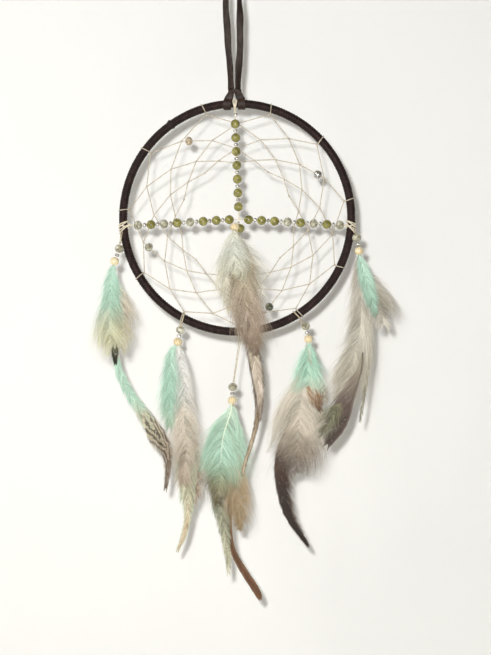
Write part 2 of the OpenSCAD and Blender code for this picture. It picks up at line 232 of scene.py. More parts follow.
def tube(shape, points, radius, sides, mark=(0.0, 0.0, 0.0)):
    """A round tube along a line, closed by a fan at each end."""
    points = np.asarray(points, float)
    first, second = frames(points)
    turn = np.arange(sides) * 2 * math.pi / sides
    radius = np.broadcast_to(np.asarray(radius, float), (len(points),))[:, None, None]
    ring = (np.cos(turn)[None, :, None] * first[:, None]
            + np.sin(turn)[None, :, None] * second[:, None])
    body = points[:, None] + radius * ring
    n = len(points) * sides
    faces = grid(len(points), sides, round_columns=True)
    everything = np.vstack([body.reshape(-1, 3), points[:1], points[-1:]])
    shape.add(everything, faces[:, ::-1], mark)
    base = shape.count - len(everything)
    for s in range(sides):
        t = (s + 1) % sides
        shape.faces.append([base + n, base + t, base + s])
        shape.faces.append([base + n + 1, base + n - sides + s, base + n - sides + t])


def twine(shape, points, radius, plies=2):
    """A twisted thread along a line: its plies wind round each other once in every turn."""
    turn = radius * 4.6
    points = evenly(points, turn / 6)
    first, second = frames(points)
    s = lengths_along(points)
    for ply in range(plies):
        phase = (s / turn + ply / plies) * 2 * math.pi
        offset = np.cos(phase)[:, None] * first + np.sin(phase)[:, None] * second
        tube(shape, points + offset * radius * 0.46, radius * 0.58, 5, mark=(ply, 0.0, 0.0))


def strap(shape, points, across, width, thickness, rng, waviness=0.0):
    """A flat lace along a line, with round edges. Across is the way its width runs."""
    points = np.asarray(points, float)
    along = unit(np.gradient(points, axis=0))
    across = unit(across - along * np.sum(across * along, 1, keepdims=True))
    normal = np.cross(along, across)
    width = np.broadcast_to(np.asarray(width, float), (len(points),))
    s = lengths_along(points)
    u = np.array([-1, -0.97, -0.86, -0.6, -0.2, 0.2, 0.6, 0.86, 0.97, 1, 0.97, 0.86, 0.6, 0.2,
                  -0.2, -0.6, -0.86, -0.97])
    high = np.array([0, 0.55, 0.85, 0.97, 1, 1, 0.97, 0.85, 0.55, 0, -0.55, -0.85, -0.97, -1, -1,
                     -0.97, -0.85, -0.55])
    phases = rng.random(6) * 6.3
    wobble = np.sin(s / 5.1 + phases[0]) + 0.6 * np.sin(s / 2.3 + phases[1])
    cup = 0.16 * np.sin(s / 9 + phases[2])
    half = width / 2 * (1 + waviness * 0.05 * wobble)
    body = (points[:, None] + across[:, None] * (half[:, None] * u)[..., None]
            + normal[:, None] * (thickness / 2 * high + (cup[:, None] * (u ** 2 - 0.4)))[..., None]
            + across[:, None] * (waviness * 0.1 * np.sin(s / 3.7 + phases[3]))[:, None, None])
    columns = len(u)
    marks = np.stack(np.broadcast_arrays(s[:, None], u[None], high[None]), -1)
    faces = grid(len(points), columns, round_columns=True)
    shape.add(body.reshape(-1, 3), faces, marks.reshape(-1, 3))
    base = shape.count - len(points) * columns
    shape.faces.append([base + k for k in range(columns)])
    shape.faces.append([base + (len(points) - 1) * columns + k for k in reversed(range(columns))])


def turned(axis, spin=0.0):
    """A rotation that takes +Z to an axis, after a spin about it."""
    axis = unit(axis)
    side = np.cross(UP, axis)
    side = unit(side) if np.linalg.norm(side) > 1e-6 else np.array([1.0, 0.0, 0.0])
    other = np.cross(axis, side)
    c, s = math.cos(spin), math.sin(spin)
    return np.stack([side * c + other * s, other * c - side * s, axis], 1)


def lathe(shape, profile, centre, axis, sides=36, spin=0.0, mark=0.0):
    """A closed outline of [radius, height] turned about an axis."""
    profile = np.asarray(profile, float)
    turn = np.arange(sides) * 2 * math.pi / sides
    ring = np.stack([profile[:, None, 0] * np.cos(turn), profile[:, None, 0] * np.sin(turn),
                     np.repeat(profile[:, 1:2], sides, 1)], -1)
    points = ring.reshape(-1, 3) @ turned(axis, spin).T + centre
    shape.add(points, grid(len(profile), sides, round_columns=True, round_rows=True),
              (mark, 0.0, 0.0))


def round_profile(radius, bore, flat=1.0, arcs=22):
    """Outline of a round bead with a bore and a softened rim where the bore opens."""
    rim = math.asin(min(0.9, (bore * 1.35) / radius))
    angles = np.linspace(rim, math.pi - rim, arcs)
    outside = [[radius * math.sin(a), radius * math.cos(a) * flat] for a in angles]
    top = outside[0][1]
    inside = [[bore * 1.12, -top * 1.01], [bore, -top * 0.93], [bore, top * 0.93],
              [bore * 1.12, top * 1.01]]
    return outside + inside


# ------------------------------------------------------------------ materials

def rgb(text):
    """A colour as a painter names it, turned into light."""
    values = [int(text[i:i + 2], 16) / 255 for i in (1, 3, 5)]
    light = [v / 12.92 if v <= 0.04045 else ((v + 0.055) / 1.055) ** 2.4 for v in values]
    return (*light, 1.0)


class Paint:
    """A material's node tree, with short ways to add nodes to it."""

    def __init__(self, name, **fixed):
        self.material = bpy.data.materials.new(name)
        self.material.use_nodes = True
        self.tree = self.material.node_tree
        self.shader = self.tree.nodes["Principled BSDF"]
        self.set(self.shader, **fixed)

    def set(self, node, **sockets):
        for key, value in sockets.items():
            socket = node.inputs[int(key[1:])] if key[0] == "i" and key[1:].isdigit() \
                else node.inputs[key.replace("_", " ")]
            if isinstance(value, bpy.types.NodeSocket):
                self.tree.links.new(value, socket)
            else:
                socket.default_value = value
        return node

    def add(self, kind, props=None, **sockets):
        node = self.tree.nodes.new(kind)
        for key, value in (props or {}).items():
            setattr(node, key, value)
        return self.set(node, **sockets)

    def place(self):
        return self.add("ShaderNodeTexCoord").outputs["Object"]

    def marks(self):
        """The three numbers that each point of the piece carries."""
        attribute = self.add("ShaderNodeAttribute", {"attribute_name": "mark"})
        split = self.add("ShaderNodeSeparateXYZ", Vector=attribute.outputs["Vector"])
        return split.outputs["X"], split.outputs["Y"], split.outputs["Z"]

    def noise(self, scale, detail=4.0, rough=0.55, where=None, distortion=0.0):
        node = self.add("ShaderNodeTexNoise", Scale=scale, Detail=detail, Roughness=rough,
                        Distortion=distortion, Vector=where or self.place())
        return node.outputs["Fac"]

    def stretch(self, factors, where=None):
        node = self.add("ShaderNodeMapping", Vector=where or self.place(), Scale=factors)
        return node.outputs["Vector"]

    def ramp(self, value, stops):
        node = self.add("ShaderNodeValToRGB", Fac=value)
        elements = node.color_ramp.elements
        while len(elements) < len(stops):
            elements.new(0.5)
        for element, (at, colour) in zip(elements, stops):
            element.position = at
            element.color = rgb(colour) if isinstance(colour, str) else (colour,) * 3 + (1.0,)
        return node.outputs["Color"]

    def math(self, operation, a, b=0.0):
        return self.add("ShaderNodeMath", {"operation": operation}, i0=a, i1=b).outputs[0]

    def plus(self, a, b):
        return self.math("ADD", a, b)

    def times(self, a, b):
        return self.math("MULTIPLY", a, b)

    def mix(self, share, a, b):
        node = self.add("ShaderNodeMix", {"data_type": "RGBA"})
        for at, value in ((0, share), (6, a), (7, b)):
            if isinstance(value, str):
                value = rgb(value)
            if isinstance(value, bpy.types.NodeSocket):
                self.tree.links.new(value, node.inputs[at])
            else:
                node.inputs[at].default_value = value
        return node.outputs[2]

    def bump(self, height, strength, distance):
        node = self.add("ShaderNodeBump", Strength=strength, Distance=distance, Height=height)
        self.tree.links.new(node.outputs["Normal"], self.shader.inputs["Normal"])

    def colour(self, value):
        self.tree.links.new(value, self.shader.inputs["Base Color"])

    def roughness(self, value):
        self.tree.links.new(value, self.shader.inputs["Roughness"])


def leather_material(name, dark, middle, light, sheen, nap=0.25, shine=0.5):
    """Thin split leather: mottled brown, dull in the grain and shiny where it is rubbed."""
    paint = Paint(name, Sheen_Weight=nap, Sheen_Roughness=0.35, Sheen_Tint=rgb(sheen),
                  Specular_IOR_Level=shine)
    broad = paint.noise(260.0, 5.0, 0.6)
    fibres = paint.noise(90.0, 6.0, 0.7, paint.stretch((9.0, 9.0, 1.0)))
    grain = paint.noise(2600.0, 3.0, 0.6)
    tone = paint.plus(paint.times(broad, 0.5), paint.times(fibres, 0.5))
    paint.colour(paint.ramp(tone, [(0.3, dark), (0.5, middle), (0.68, light)]))
    paint.roughness(paint.ramp(paint.noise(700.0), [(0.3, 0.36), (0.7, 0.62)]))
    paint.bump(paint.plus(grain, paint.times(fibres, 1.5)), 0.35, 0.0004)
    return paint.material


def thread_material(name, dark, light):
    """Waxed cotton thread, with fine fibres and a little grime between its plies."""
    paint = Paint(name, Roughness=0.7, Sheen_Weight=0.2, Sheen_Roughness=0.5)
    tone = paint.noise(420.0, 4.0, 0.6)
    fine = paint.noise(6000.0, 2.0, 0.6)
    mixed = paint.plus(paint.times(tone, 0.7), paint.times(fine, 0.3))
    paint.colour(paint.ramp(mixed, [(0.34, dark), (0.62, light)]))
    paint.bump(fine, 0.4, 0.0001)
    return paint.material


def olive_stone_material():
    """Round olive jade beads, cloudy and polished."""
    paint = Paint("olive_stone", Roughness=0.24, Coat_Weight=0.8, Coat_Roughness=0.12,
                  Subsurface_Weight=0.12, Subsurface_Radius=(0.002, 0.002, 0.0008))
    each = paint.marks()[0]
    shifted = paint.add("ShaderNodeVectorMath", {"operation": "ADD"}, i0=paint.place())
    moved = paint.add("ShaderNodeCombineXYZ", X=each, Y=each, Z=each)
    paint.tree.links.new(moved.outputs[0], shifted.inputs[1])
    clouds = paint.noise(330.0, 4.0, 0.6, shifted.outputs[0], 0.6)
    specks = paint.noise(1900.0, 3.0, 0.7)
    base = paint.ramp(clouds, [(0.32, "#5f5c28"), (0.5, "#85803d"), (0.66, "#a29b57")])
    flecks = paint.times(paint.ramp(specks, [(0.56, 0.0), (0.7, 1.0)]), 0.4)
    paint.colour(paint.mix(flecks, base, "#504c22"))
    return paint.material


def picasso_material(name, pale, middle, dark, glaze):
    """Cut glass beads with a stony brown glaze in their creases."""
    paint = Paint(name, Roughness=0.16, Coat_Weight=0.9, Coat_Roughness=0.1,
                  Specular_IOR_Level=0.9)
    clouds = paint.noise(300.0, 5.0, 0.65, None, 1.2)
    patches = paint.noise(520.0, 4.0, 0.7, None, 0.5)
    base = paint.ramp(clouds, [(0.32, dark), (0.48, middle), (0.62, pale)])
    stain = paint.ramp(patches, [(0.5, 0.0), (0.64, 0.75)])
    paint.colour(paint.mix(stain, base, glaze))
    paint.roughness(paint.ramp(patches, [(0.45, 0.12), (0.65, 0.4)]))
    return paint.material


def silver_material():
    """Bright silver-lined beads, a little tarnished."""
    paint = Paint("silver", Metallic=0.8, Specular_IOR_Level=0.8, Coat_Weight=0.6, Coat_Roughness=0.12)
    tarnish = paint.noise(900.0, 4.0, 0.6)
    paint.colour(paint.ramp(tarnish, [(0.38, "#6d6a62"), (0.5, "#dedbd4"), (0.7, "#fbf8f2")]))
    paint.roughness(paint.ramp(tarnish, [(0.35, 0.34), (0.7, 0.14)]))
    return paint.material


def wood_material():
    """Pale unvarnished wood, its rings cut through by the round of the bead."""
    paint = Paint("pale_wood", Roughness=0.42, Specular_IOR_Level=0.4, Coat_Weight=0.12,
                  Coat_Roughness=0.3, Subsurface_Weight=0.08, Subsurface_Radius=(0.002, 0.001, 0.0005))
    warped = paint.noise(160.0, 3.0, 0.5, None, 0.8)
    rings = paint.add("ShaderNodeTexWave", {"wave_type": "BANDS", "bands_direction": "X"},
                      Scale=260.0, Distortion=6.0, Detail=2.0, Detail_Scale=1.5,
                      Vector=paint.place()).outputs["Fac"]
    tone = paint.plus(paint.times(rings, 0.35), paint.times(warped, 0.65))
    paint.colour(paint.ramp(tone, [(0.25, "#d0b283"), (0.48, "#e6d4a6"), (0.7, "#f0e4c2")]))
    paint.bump(rings, 0.15, 0.0002)
    return paint.material


def metal_material():
    """The plain steel wire of the ring inside the wrapping."""
    paint = Paint("ring_steel", Metallic=1.0)
    scratches = paint.noise(1500.0, 3.0, 0.6)
    paint.colour(paint.ramp(scratches, [(0.3, "#77766f"), (0.7, "#b5b3ab")]))
    paint.roughness(paint.ramp(scratches, [(0.3, 0.3), (0.7, 0.5)]))
    return paint.material


def speckled_material(name, base, dark, light):
    """A speckled pressed-glass bead."""
    paint = Paint(name, Roughness=0.35, Coat_Weight=0.3, Coat_Roughness=0.15)
    specks = paint.noise(1100.0, 4.0, 0.7)
    paint.colour(paint.ramp(specks, [(0.38, dark), (0.5, base), (0.64, light)]))
    paint.bump(specks, 0.2, 0.0002)
    return paint.material


def feather_material(name, colours, bars=None, edge=None, speckle=None, streaks=0.62,
                     shaft=None, white=0.4):
    """A feather's barbs. A point's marks are its share of the way down the feather, its share of
    the way out along its barb, and its barb's own tint. Colours run down the feather."""
    paint = Paint(name, Roughness=0.6, Specular_IOR_Level=0.3, Sheen_Weight=0.25,
                  Sheen_Roughness=0.45)
    down, out, tint = paint.marks()
    patch = paint.noise(150.0, 3.0, 0.6)
    uneven = paint.math("SUBTRACT", patch, 0.5)
    shifted = paint.plus(down, paint.times(uneven, 0.2))
    shifted = paint.plus(shifted, paint.times(paint.math("SUBTRACT", tint, 0.5), 0.14))
    tone = paint.ramp(shifted, colours)
    if edge:
        colour, begins, ends, strength = edge
        share = paint.ramp(out, [(begins, 0.0), (ends, 1.0)])
        tone = paint.mix(paint.times(share, strength), tone, colour)
    if speckle:
        spots = paint.ramp(paint.noise(700.0, 3.0, 0.7), [(0.52, 0.0), (0.66, 0.6)])
        tone = paint.mix(spots, tone, speckle)
    if bars:
        colour, count, skew, start, end, width = bars
        phase = paint.plus(paint.times(down, count), paint.times(out, skew))
        phase = paint.plus(phase, paint.times(uneven, 2.6))
        wave = paint.math("SINE", paint.times(phase, 2 * math.pi))
        band = paint.ramp(paint.plus(paint.times(wave, 0.5), 0.5),
                          [(width - 0.12, 0.0), (width + 0.12, 1.0)])
        begun = paint.ramp(down, [(max(0.0, start - 0.03), 0.0), (start + 0.03, 1.0)])
        after = 0.0 if end < 1 else 1.0
        before_end = paint.ramp(down, [(end - 0.03, 1.0), (min(1.0, end + 0.03), after)])
        where = paint.times(begun, before_end)
        tone = paint.mix(paint.times(paint.times(band, where), 0.82), tone, colour)
    bright = paint.add("ShaderNodeMapRange", i0=tint, i3=1 - streaks, i4=1 + streaks * 0.4)
    tone = paint.add("ShaderNodeHueSaturation", Value=bright.outputs[0], Color=tone).outputs["Color"]
    # Painted highlights: barbs with a high random tint are mixed towards near white, up to the share
    # that white gives.
    if white:
        tone = paint.mix(paint.ramp(tint, [(0.5, 0.0), (0.95, white)]), tone, "#fbfaf4")
    if shaft:
        is_shaft = paint.ramp(out, [(0.0, 1.0), (0.02, 0.0)])
        tone = paint.mix(is_shaft, tone, shaft)
    paint.colour(tone)
    return paint.material


# ------------------------------------------------------------------ camera

# The view covers this height at the depth of the hoop, its middle at this place
VIEW_HEIGHT = 428.0
VIEW_MIDDLE = np.array([7.9, 0.0, -226.8])
CAMERA_AWAY = 1000.0


def make_camera():
    data = bpy.data.cameras.new("camera")
    data.sensor_width = 36.0
    data.lens = data.sensor_width * CAMERA_AWAY / VIEW_HEIGHT
    camera = bpy.data.objects.new("camera", data)
    camera.location = (VIEW_MIDDLE + CAMERA_AWAY * FRONT) * MM
    camera.rotation_euler = (math.pi / 2, 0.0, 0.0)
    bpy.context.scene.collection.objects.link(camera)
    bpy.context.scene.camera = camera


make_camera()

# ------------------------------------------------------------------ hanger lace and knot

LACE_W = 4.4
LACE_T = 1.1
# The lace's route, from the knot up one side, over the hook and down the other: [x, z, half its
# size across the loop]. It lies face on beside the hoop and turns on edge over the hook.
LACE_ROUTE = [
    [-1.4, -71, 2], [-1.6, -66, 2], [-2.2, -58, 2.1], [-2.9, -50, 2.1], [-3.6, -40, 2.2],
    [-4.2, -30, 2.2], [-4.8, -20, 2.1], [-5, -13, 1.9], [-4.9, -8, 1.4], [-4.3, -4, 0.9],
    [-2.8, -0.8, 0.65], [-0.4, 0.65, 0.65], [2, -0.8, 0.65], [3.5, -4, 0.9], [4, -8, 1.4],
    [4, -13, 1.9], [4.1, -20, 2.1], [4.3, -30, 2.2], [4.3, -40, 2.2], [4, -50, 2.1],
    [3.5, -58, 2.1], [3, -66, 2], [2.9, -71, 2],
]
LEATHER = leather_material("hanger_leather", "#170e0b", "#2b1f18", "#4b3b30", "#8f8178", 0.05, 0.3)
KNOT_LEATHER = leather_material("knot_leather", "#170e0b", "#2c1e18", "#4b3a31", "#8f8178", 0.06, 0.3)


def make_lace():
    """The flat lace as one strap, turned on edge where it runs over the hook."""
    rng = np.random.default_rng(3)
    route = np.array([[x, 0.0, z] for x, z, _ in LACE_ROUTE])
    line = curve(route, 0.9)
    s, route_s = lengths_along(line), lengths_along(route)
    share = route_s / route_s[-1] * s[-1]
    half = np.interp(s, share, [row[2] for row in LACE_ROUTE])
    tilt = np.arccos(np.clip((half - LACE_T / 2) / (LACE_W / 2 - LACE_T / 2), 0, 1))
    along = unit(np.gradient(line, axis=0))
    outward = np.cross(along, FRONT)
    sway = 0.14 * np.sin(s / 11) + 0.1 * np.sin(s / 4.3)
    across = np.cos(tilt + sway)[:, None] * outward + np.sin(tilt + sway)[:, None] * FRONT
    shape = Shape()
    strap(shape, line, across, LACE_W, LACE_T, rng, waviness=1.0)
    lace = shape.piece("lace_loop", LEATHER, None, ["hanger_lace"], "hanger_leather")
    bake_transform(lace)


def round_tube(x, start, end, radius, count=14):
    """Points round the hoop's tube at a place along it, from one direction to another. 0 is the
    front and 90 the top."""
    turns = np.radians(np.linspace(start, end, count))
    top = HOOP[2] + math.sqrt(HOOP_R ** 2 - (x - HOOP[0]) ** 2)
    return np.array([[x, -radius * math.cos(t), top + radius * math.sin(t)] for t in turns])


def make_knot():
    """The lark's head: a bight across the front, a wrap round the tube on each side of a gap, and
    the two ends that come up behind the bight into the strands."""
    rng = np.random.default_rng(5)
    shape = Shape()
    middle = (LACE_ROUTE[0][0] + LACE_ROUTE[-1][0]) / 2
    reach = TUBE_R + LACE_T * 0.62
    bar_z = HOOP[2] + HOOP_R + 7.9
    for side in (-1, 1):
        strand = LACE_ROUTE[0] if side < 0 else LACE_ROUTE[-1]
        turns = np.linspace(50, -62, 12)
        out = np.interp(turns, [-62, 0, 50], [4.9, 4.7, 3.9])
        front = [round_tube(middle + side * x, t, t, reach, 1)[0].tolist()
                 for x, t in zip(out, turns)]
        back = round_tube(middle + side * 4.6, 250, 105, reach, 16)
        under = round_tube(middle + side * 4.8, -62, -110, reach, 6)
        line = [[middle, -2.2, bar_z], [middle + side * 1.6, -2.3, bar_z - 0.3],
                [middle + side * 2.5, -2.5, bar_z - 2.0], [middle + side * 3.2, -2.6, bar_z - 3.8]]
        line += front + under[1:].tolist() + back.tolist()
        line += [[strand[0] + side * 0.5, 0.9, bar_z - 2.6], [strand[0], 0.3, bar_z + 0.2],
                 [strand[0], 0.0, strand[1] - 0.1]]
        line = curve(line, 0.7)
        s = lengths_along(line)
        share = s / s[-1]
        tube_way = np.array([1.0, 0.0, 0.0])
        bar_way = UP + 0.15 * FRONT
        fade = np.clip((share - 0.02) / 0.08, 0, 1)[:, None]
        fade = fade * fade * (3 - 2 * fade)
        lift = 1 - np.clip(share / 0.3, 0, 1)[:, None]
        across = bar_way * (1 - fade) + side * (tube_way + side * 0.25 * UP * lift) * fade
        width = LACE_W * np.interp(share, [0, 0.04, 0.12, 0.25, 0.36, 0.5, 1],
                                   [0.6, 0.75, 1.05, 1.25, 1.25, 1.05, 0.95])
        strap(shape, line, side * across, width, LACE_T, rng, waviness=1.2)
    shape.piece("larks_head_knot", KNOT_LEATHER, "knot", ["hanger_knot"], "hanger_leather")


# ------------------------------------------------------------------ hoop

# The end of the hoop's lace, laid flat
WRAP_W = 2.6
WRAP_T = 0.45
HOOP_LEATHER = leather_material("hoop_leather", "#120907", "#21120f", "#3a2620", "#6f5f66", 0.02, 0.22)


def make_wrap():
    """Narrow lace wound round the ring from end to end, each turn with its own width and lift."""
    rng = np.random.default_rng(11)
    turns, per_turn, sides = 262, 8, 22
    widths = 1 + 0.16 * (rng.random(turns) - 0.5)
    edges = np.concatenate([[0.0], np.cumsum(widths)]) / widths.sum() * turns
    lifts = 0.10 * (rng.random(turns + 2) - 0.5)
    i = np.arange(turns * per_turn)[:, None]
    j = np.arange(sides)[None]
    around = j * 2 * math.pi / sides
    place = (i / per_turn + 0.55 * around / (2 * math.pi) + 0.1 * np.sin(2 * around)) % turns
    which = np.clip(np.searchsorted(edges, place, side="right") - 1, 0, turns - 1)
    within = (place - edges[which]) / (edges[which + 1] - edges[which])
    crown = 1 - np.abs(2 * within - 1) ** 3.2
    radius = TUBE_R - 0.34 + 0.34 * crown + lifts[which] * crown + 0.06 * within
    phi = i * 2 * math.pi / (turns * per_turn)
    out = HOOP_R + radius * np.cos(around)
    points = np.stack([HOOP[0] + out * np.cos(phi), HOOP[1] - radius * np.sin(around) + 0 * phi,
                       HOOP[2] + out * np.sin(phi)], -1)
    shape = Shape()
    marks = np.stack([which / turns, within, 0 * within], -1)
    shape.add(points, grid(turns * per_turn, sides, True, True), marks.reshape(-1, 3))
    shape.piece("hoop_lacing", HOOP_LEATHER, "hoop", ["hoop_wrap"], "hoop_leather")


def make_wrap_end(name, angle, lean):
    """Where a lace ends: its last bit is laid across the turns and tucked under."""
    rng = np.random.default_rng(int(angle))
    turns = np.radians(np.linspace(-75, 118, 22))
    line = []
    for k, t in enumerate(turns):
        r = TUBE_R + 0.02 + 0.14 * math.sin(k / 21 * math.pi)
        at = on_hoop(angle + lean * k / 21, HOOP_R + r * math.sin(t))
        line.append(at + FRONT * r * math.cos(t))
    line = np.array(line)
    outward = np.cross(unit(line[-1] - line[0]), FRONT)
    line = curve(line, 0.4)
    shape = Shape()
    strap(shape, line, np.repeat(outward[None], len(line), 0), WRAP_W, WRAP_T, rng, 1.0)
    shape.piece(name, HOOP_LEATHER, "hoop", (), "hoop_leather")


# ------------------------------------------------------------------ web

THREAD = thread_material("cream_thread", "#a8977a", "#d9ccab")
WEB_THREAD = thread_material("web_thread", "#a0937f", "#ddd2bd")
TIE_THREAD = thread_material("tie_thread", "#d3c6a6", "#f6eedb")


def tube_arc(angle, lean, radius, start=-100.0, end=260.0, count=30):
    """A loop of thread round the hoop's tube that leans as it crosses the front. 0 is the inner
    side, 90 the front and 180 the outer side."""
    line = []
    for t in np.radians(np.linspace(start, end, count)):
        place = angle + lean * (0.5 - 0.5 * math.cos(t))
        line.append(on_hoop(place, HOOP_R - radius * math.cos(t)) + FRONT * radius * math.sin(t))
    return np.array(line)


def small_knot(shape, at, way, thread_r, size=1.0):
    """Two tight turns of thread round a crossing."""
    side = unit(np.cross(way, FRONT))
    for k, shift in enumerate((-0.5, 0.5)):
        turns = np.linspace(0, 2 * math.pi, 13)
        normal = unit(way + 0.5 * (1 - 2 * k) * side)
        a = unit(np.cross(normal, FRONT))
        b = np.cross(normal, a)
        r = thread_r * 1.55 * size
        ring = (at + way * shift * thread_r * 1.2
                + r * (np.cos(turns)[:, None] * a + np.sin(turns)[:, None] * b))
        tube(shape, ring, thread_r * 0.72, 6)


def make_web():
    """One long thread, hitched round the hoop and then knotted round after round to itself."""
    shape = Shape()
    r = WEB_THREAD_R
    for i in range(WEB_POINTS):
        inner = web_knot(0, i)
        away = unit(inner - HOOP)
        beside = np.cross(away, FRONT)
        angle = hitch_angle(i)
        loop = tube_arc(angle - 0.25, 0.9, TUBE_R + r + 0.1, 12, 348)
        neck = inner + away * 0.8
        line = np.vstack([[web_knot(1, i - 1), inner + beside * 0.5, neck + beside * 0.35], loop,
                          [neck - beside * 0.35, inner - beside * 0.5, web_knot(1, i)]])
        twine(shape, line, r)
        small_knot(shape, inner + away * 0.3, away, r, 1.1)
        for ring in range(1, len(WEB_ROUNDS) + 1):
            small_knot(shape, web_knot(ring, i), unit(web_knot(ring, i) - HOOP), r)
        for ring in range(1, len(WEB_ROUNDS)):
            knot = web_knot(ring, i)
            for far in (web_knot(ring + 1, i), web_knot(ring + 1, i - 1)):
                twine(shape, [knot, far], r)
    shape.piece("web_threads", WEB_THREAD, "hoop", ["web_thread"], "cream_thread")


# ------------------------------------------------------------------ beads

OLIVE = olive_stone_material()
PICASSO = picasso_material("picasso_glass", "#d3d1ba", "#a39f85", "#6a6650", "#4a3822")
DARK_PICASSO = picasso_material("dark_green_glass", "#7f8568", "#4d5540", "#333a2b", "#3b3324")
SILVER = silver_material()
WOOD = wood_material()
BEIGE = speckled_material("beige_glass", "#b3a184", "#7a6248", "#d8cbb0")
BORE = 0.55
GREEN_BEAD = (3.05,)
CUT_BEAD = (3.1,)
SEED_BEAD = (1.55, 1.9)


def round_bead(shape, centre, axis, radius, rng, flat=1.0):
    lathe(shape, round_profile(radius, BORE, flat), centre, axis, 40, rng.random() * 6.3,
          rng.random() * 9)


def cut_bead(shape, centre, axis, radius, rng, sides=8):
    """A fire-polished bead: rows of flat cuts, each row half a cut round from the last."""
    rows = [(0.34, 0.9), (0.74, 0.66), (0.985, 0.24), (0.985, -0.24), (0.74, -0.66), (0.34, -0.9)]

    def ring(out, height, shift=0.0):
        turn = (np.arange(sides) + shift) * 2 * math.pi / sides
        return np.stack([out * np.cos(turn), out * np.sin(turn),
                         np.full(sides, radius * 0.95 * height)], 1)

    spin = rng.random() * 6.3
    points = [ring(radius * share, height, (k % 2) / 2) for k, (share, height) in enumerate(rows)]
    points += [ring(BORE, height) for height in (-0.84, 0.84)]
    bottom, low_rim, high_rim = [(len(rows) + k) * sides for k in (-1, 0, 1)]
    cuts, ends = [], []
    for k in range(len(rows) - 1):
        for s in range(sides):
            a, b = k * sides + s, k * sides + (s + 1) % sides
            c, d = a + sides, b + sides
            cuts += [[a, c, d], [a, d, b]] if k % 2 else [[a, c, b], [b, c, d]]
    for s in range(sides):
        t = (s + 1) % sides
        ends += [[s, t, high_rim + t, high_rim + s],
                 [bottom + t, bottom + s, low_rim + s, low_rim + t],
                 [low_rim + t, low_rim + s, high_rim + s, high_rim + t]]
    base = shape.count
    points = np.concatenate(points) @ turned(axis, spin).T + centre
    shape.add(points, cuts, (rng.random(), 0.0, 0.0))
    shape.faces.extend([[base + v for v in face] for face in ends])


def seed_bead(shape, centre, axis, radius, length, rng):
    """A small silver bead: a short tube with round ends."""
    turns = np.linspace(0, 2 * math.pi, 17)[:-1]
    thick = (radius - 0.45) / 2
    profile = [[0.45 + thick + thick * math.cos(t), length / 2 * math.sin(t)] for t in turns]
    lathe(shape, profile, centre, axis, 28, rng.random() * 6.3, rng.random())


def make_beads(name, node, axis, make, material, slot, size, smooth=True):
    """One piece with a bead at each solid of a CAD node."""
    rng = np.random.default_rng(sum(map(ord, name)))
    shape = Shape()
    centres = islands(node)
    for k, centre in enumerate(centres):
        before, after = centres[max(0, k - 1)], centres[min(len(centres) - 1, k + 1)]
        way = axis if axis is not None else unit(after - before)
        lean = unit(way + 0.06 * (rng.random(3) - 0.5))
        make(shape, centre, lean, *size, rng)
    shape.piece(name, material, "hoop", [node], slot, smooth)


def make_strands():
    """The beads of the upright and level rows."""
    upright = islands("vertical_green_beads")
    way = unit(upright[-1] - upright[0])
    for row, strand, axis in (("upright", "vertical", way), ("level", "cross", None)):
        make_beads(row + "_green_beads", strand + "_green_beads", axis, round_bead, OLIVE,
                   "olive_stone", GREEN_BEAD)
        if row == "level":
            make_beads("level_cut_beads", "cross_faceted_beads", axis, cut_bead, PICASSO,
                       "cut_glass", CUT_BEAD, smooth=False)
        make_beads(row + "_seed_beads", strand + "_spacers", axis, seed_bead, SILVER, "silver",
                   SEED_BEAD)


def bead_axis(bundle):
    if bundle == "centre":
        return UP
    return unit(centre_mm(bundle + "_cut_bead") - centre_mm(bundle + "_wood_bead"))


def make_threads():
    """The threads that the beads of the strands run on, and the ties that hold them."""
    rng = np.random.default_rng(21)
    greens = islands("cross_green_beads")
    cuts = islands("cross_faceted_beads")
    row = sorted(greens + cuts, key=lambda c: c[0])
    upright = sorted(islands("vertical_green_beads"), key=lambda c: c[2])
    left, right = row[0] + [-5.2, 0, 0.2], row[-1] + [5.2, 0, -0.1]
    line = curve(np.vstack([[left], row, [right]]), 0.6)
    shape = Shape()
    twine(shape, line, 0.42)
    for end, side in ((left, -1), (right, 1)):
        small_knot(shape, end, np.array([1.0, 0, 0]), 0.42, 1.3)
        middle = 180.0 + 4.3 if side < 0 else -4.1
        for k in range(5):
            place = middle + (k - 2) * 0.8 * side
            lean = (3.6, 2.6, -1.4, 3.2, 1.8)[k] * -side
            arc = tube_arc(place - lean / 2, lean, TUBE_R + 0.42 + 0.12 * (k % 2), -80, 280, 34)
            tube(shape, arc, 0.36, 7)
        for k in range(3):
            start = on_hoop(middle + (k - 1) * 1.5, HOOP_R - TUBE_R - 0.2, -1.6)
            tube(shape, curve([start, (start + end) / 2 + FRONT * 0.4, end], 0.5), 0.33, 7)
    shape.piece("level_thread", TIE_THREAD, "hoop", ["cross_thread"], "cream_thread")

    shape = Shape()
    crossing = upright[0] + (upright[0] - upright[1]) * 0.88
    thread_top = box_mm("vertical_thread")[1][2]
    tie = np.array([upright[-1][0] + 0.1, upright[-1][1], thread_top - 11.4])
    line = np.vstack([[crossing], upright, [tie]])
    twine(shape, curve(line, 0.6), 0.42)
    for k, spread in enumerate((-1.25, -0.5, 0.45, 1.2)):
        high_z = thread_top - 1.6 - 0.5 * (k % 2)
        x = tie[0] - 0.35
        strand = [tie, [x + spread * 0.15, -3.9, tie[2] + 3.2],
                  [x + spread * 0.75, -3.75, tie[2] + 6.6], [x + spread, -3.35, tie[2] + 9],
                  [x + spread * 0.4, -3.1, high_z]]
        twine(shape, curve(strand, 0.4), 0.34)
    small_knot(shape, tie + UP * 1.2, UP, 0.42, 1.2)
    shape.piece("upright_thread", TIE_THREAD, "hoop", ["vertical_thread"], "cream_thread")
    shape = Shape()
    seed_bead(shape, tie - UP * 0.4, UP, 1.45, 1.9, rng)
    shape.piece("top_seed_bead", SILVER, "hoop", (), "silver")


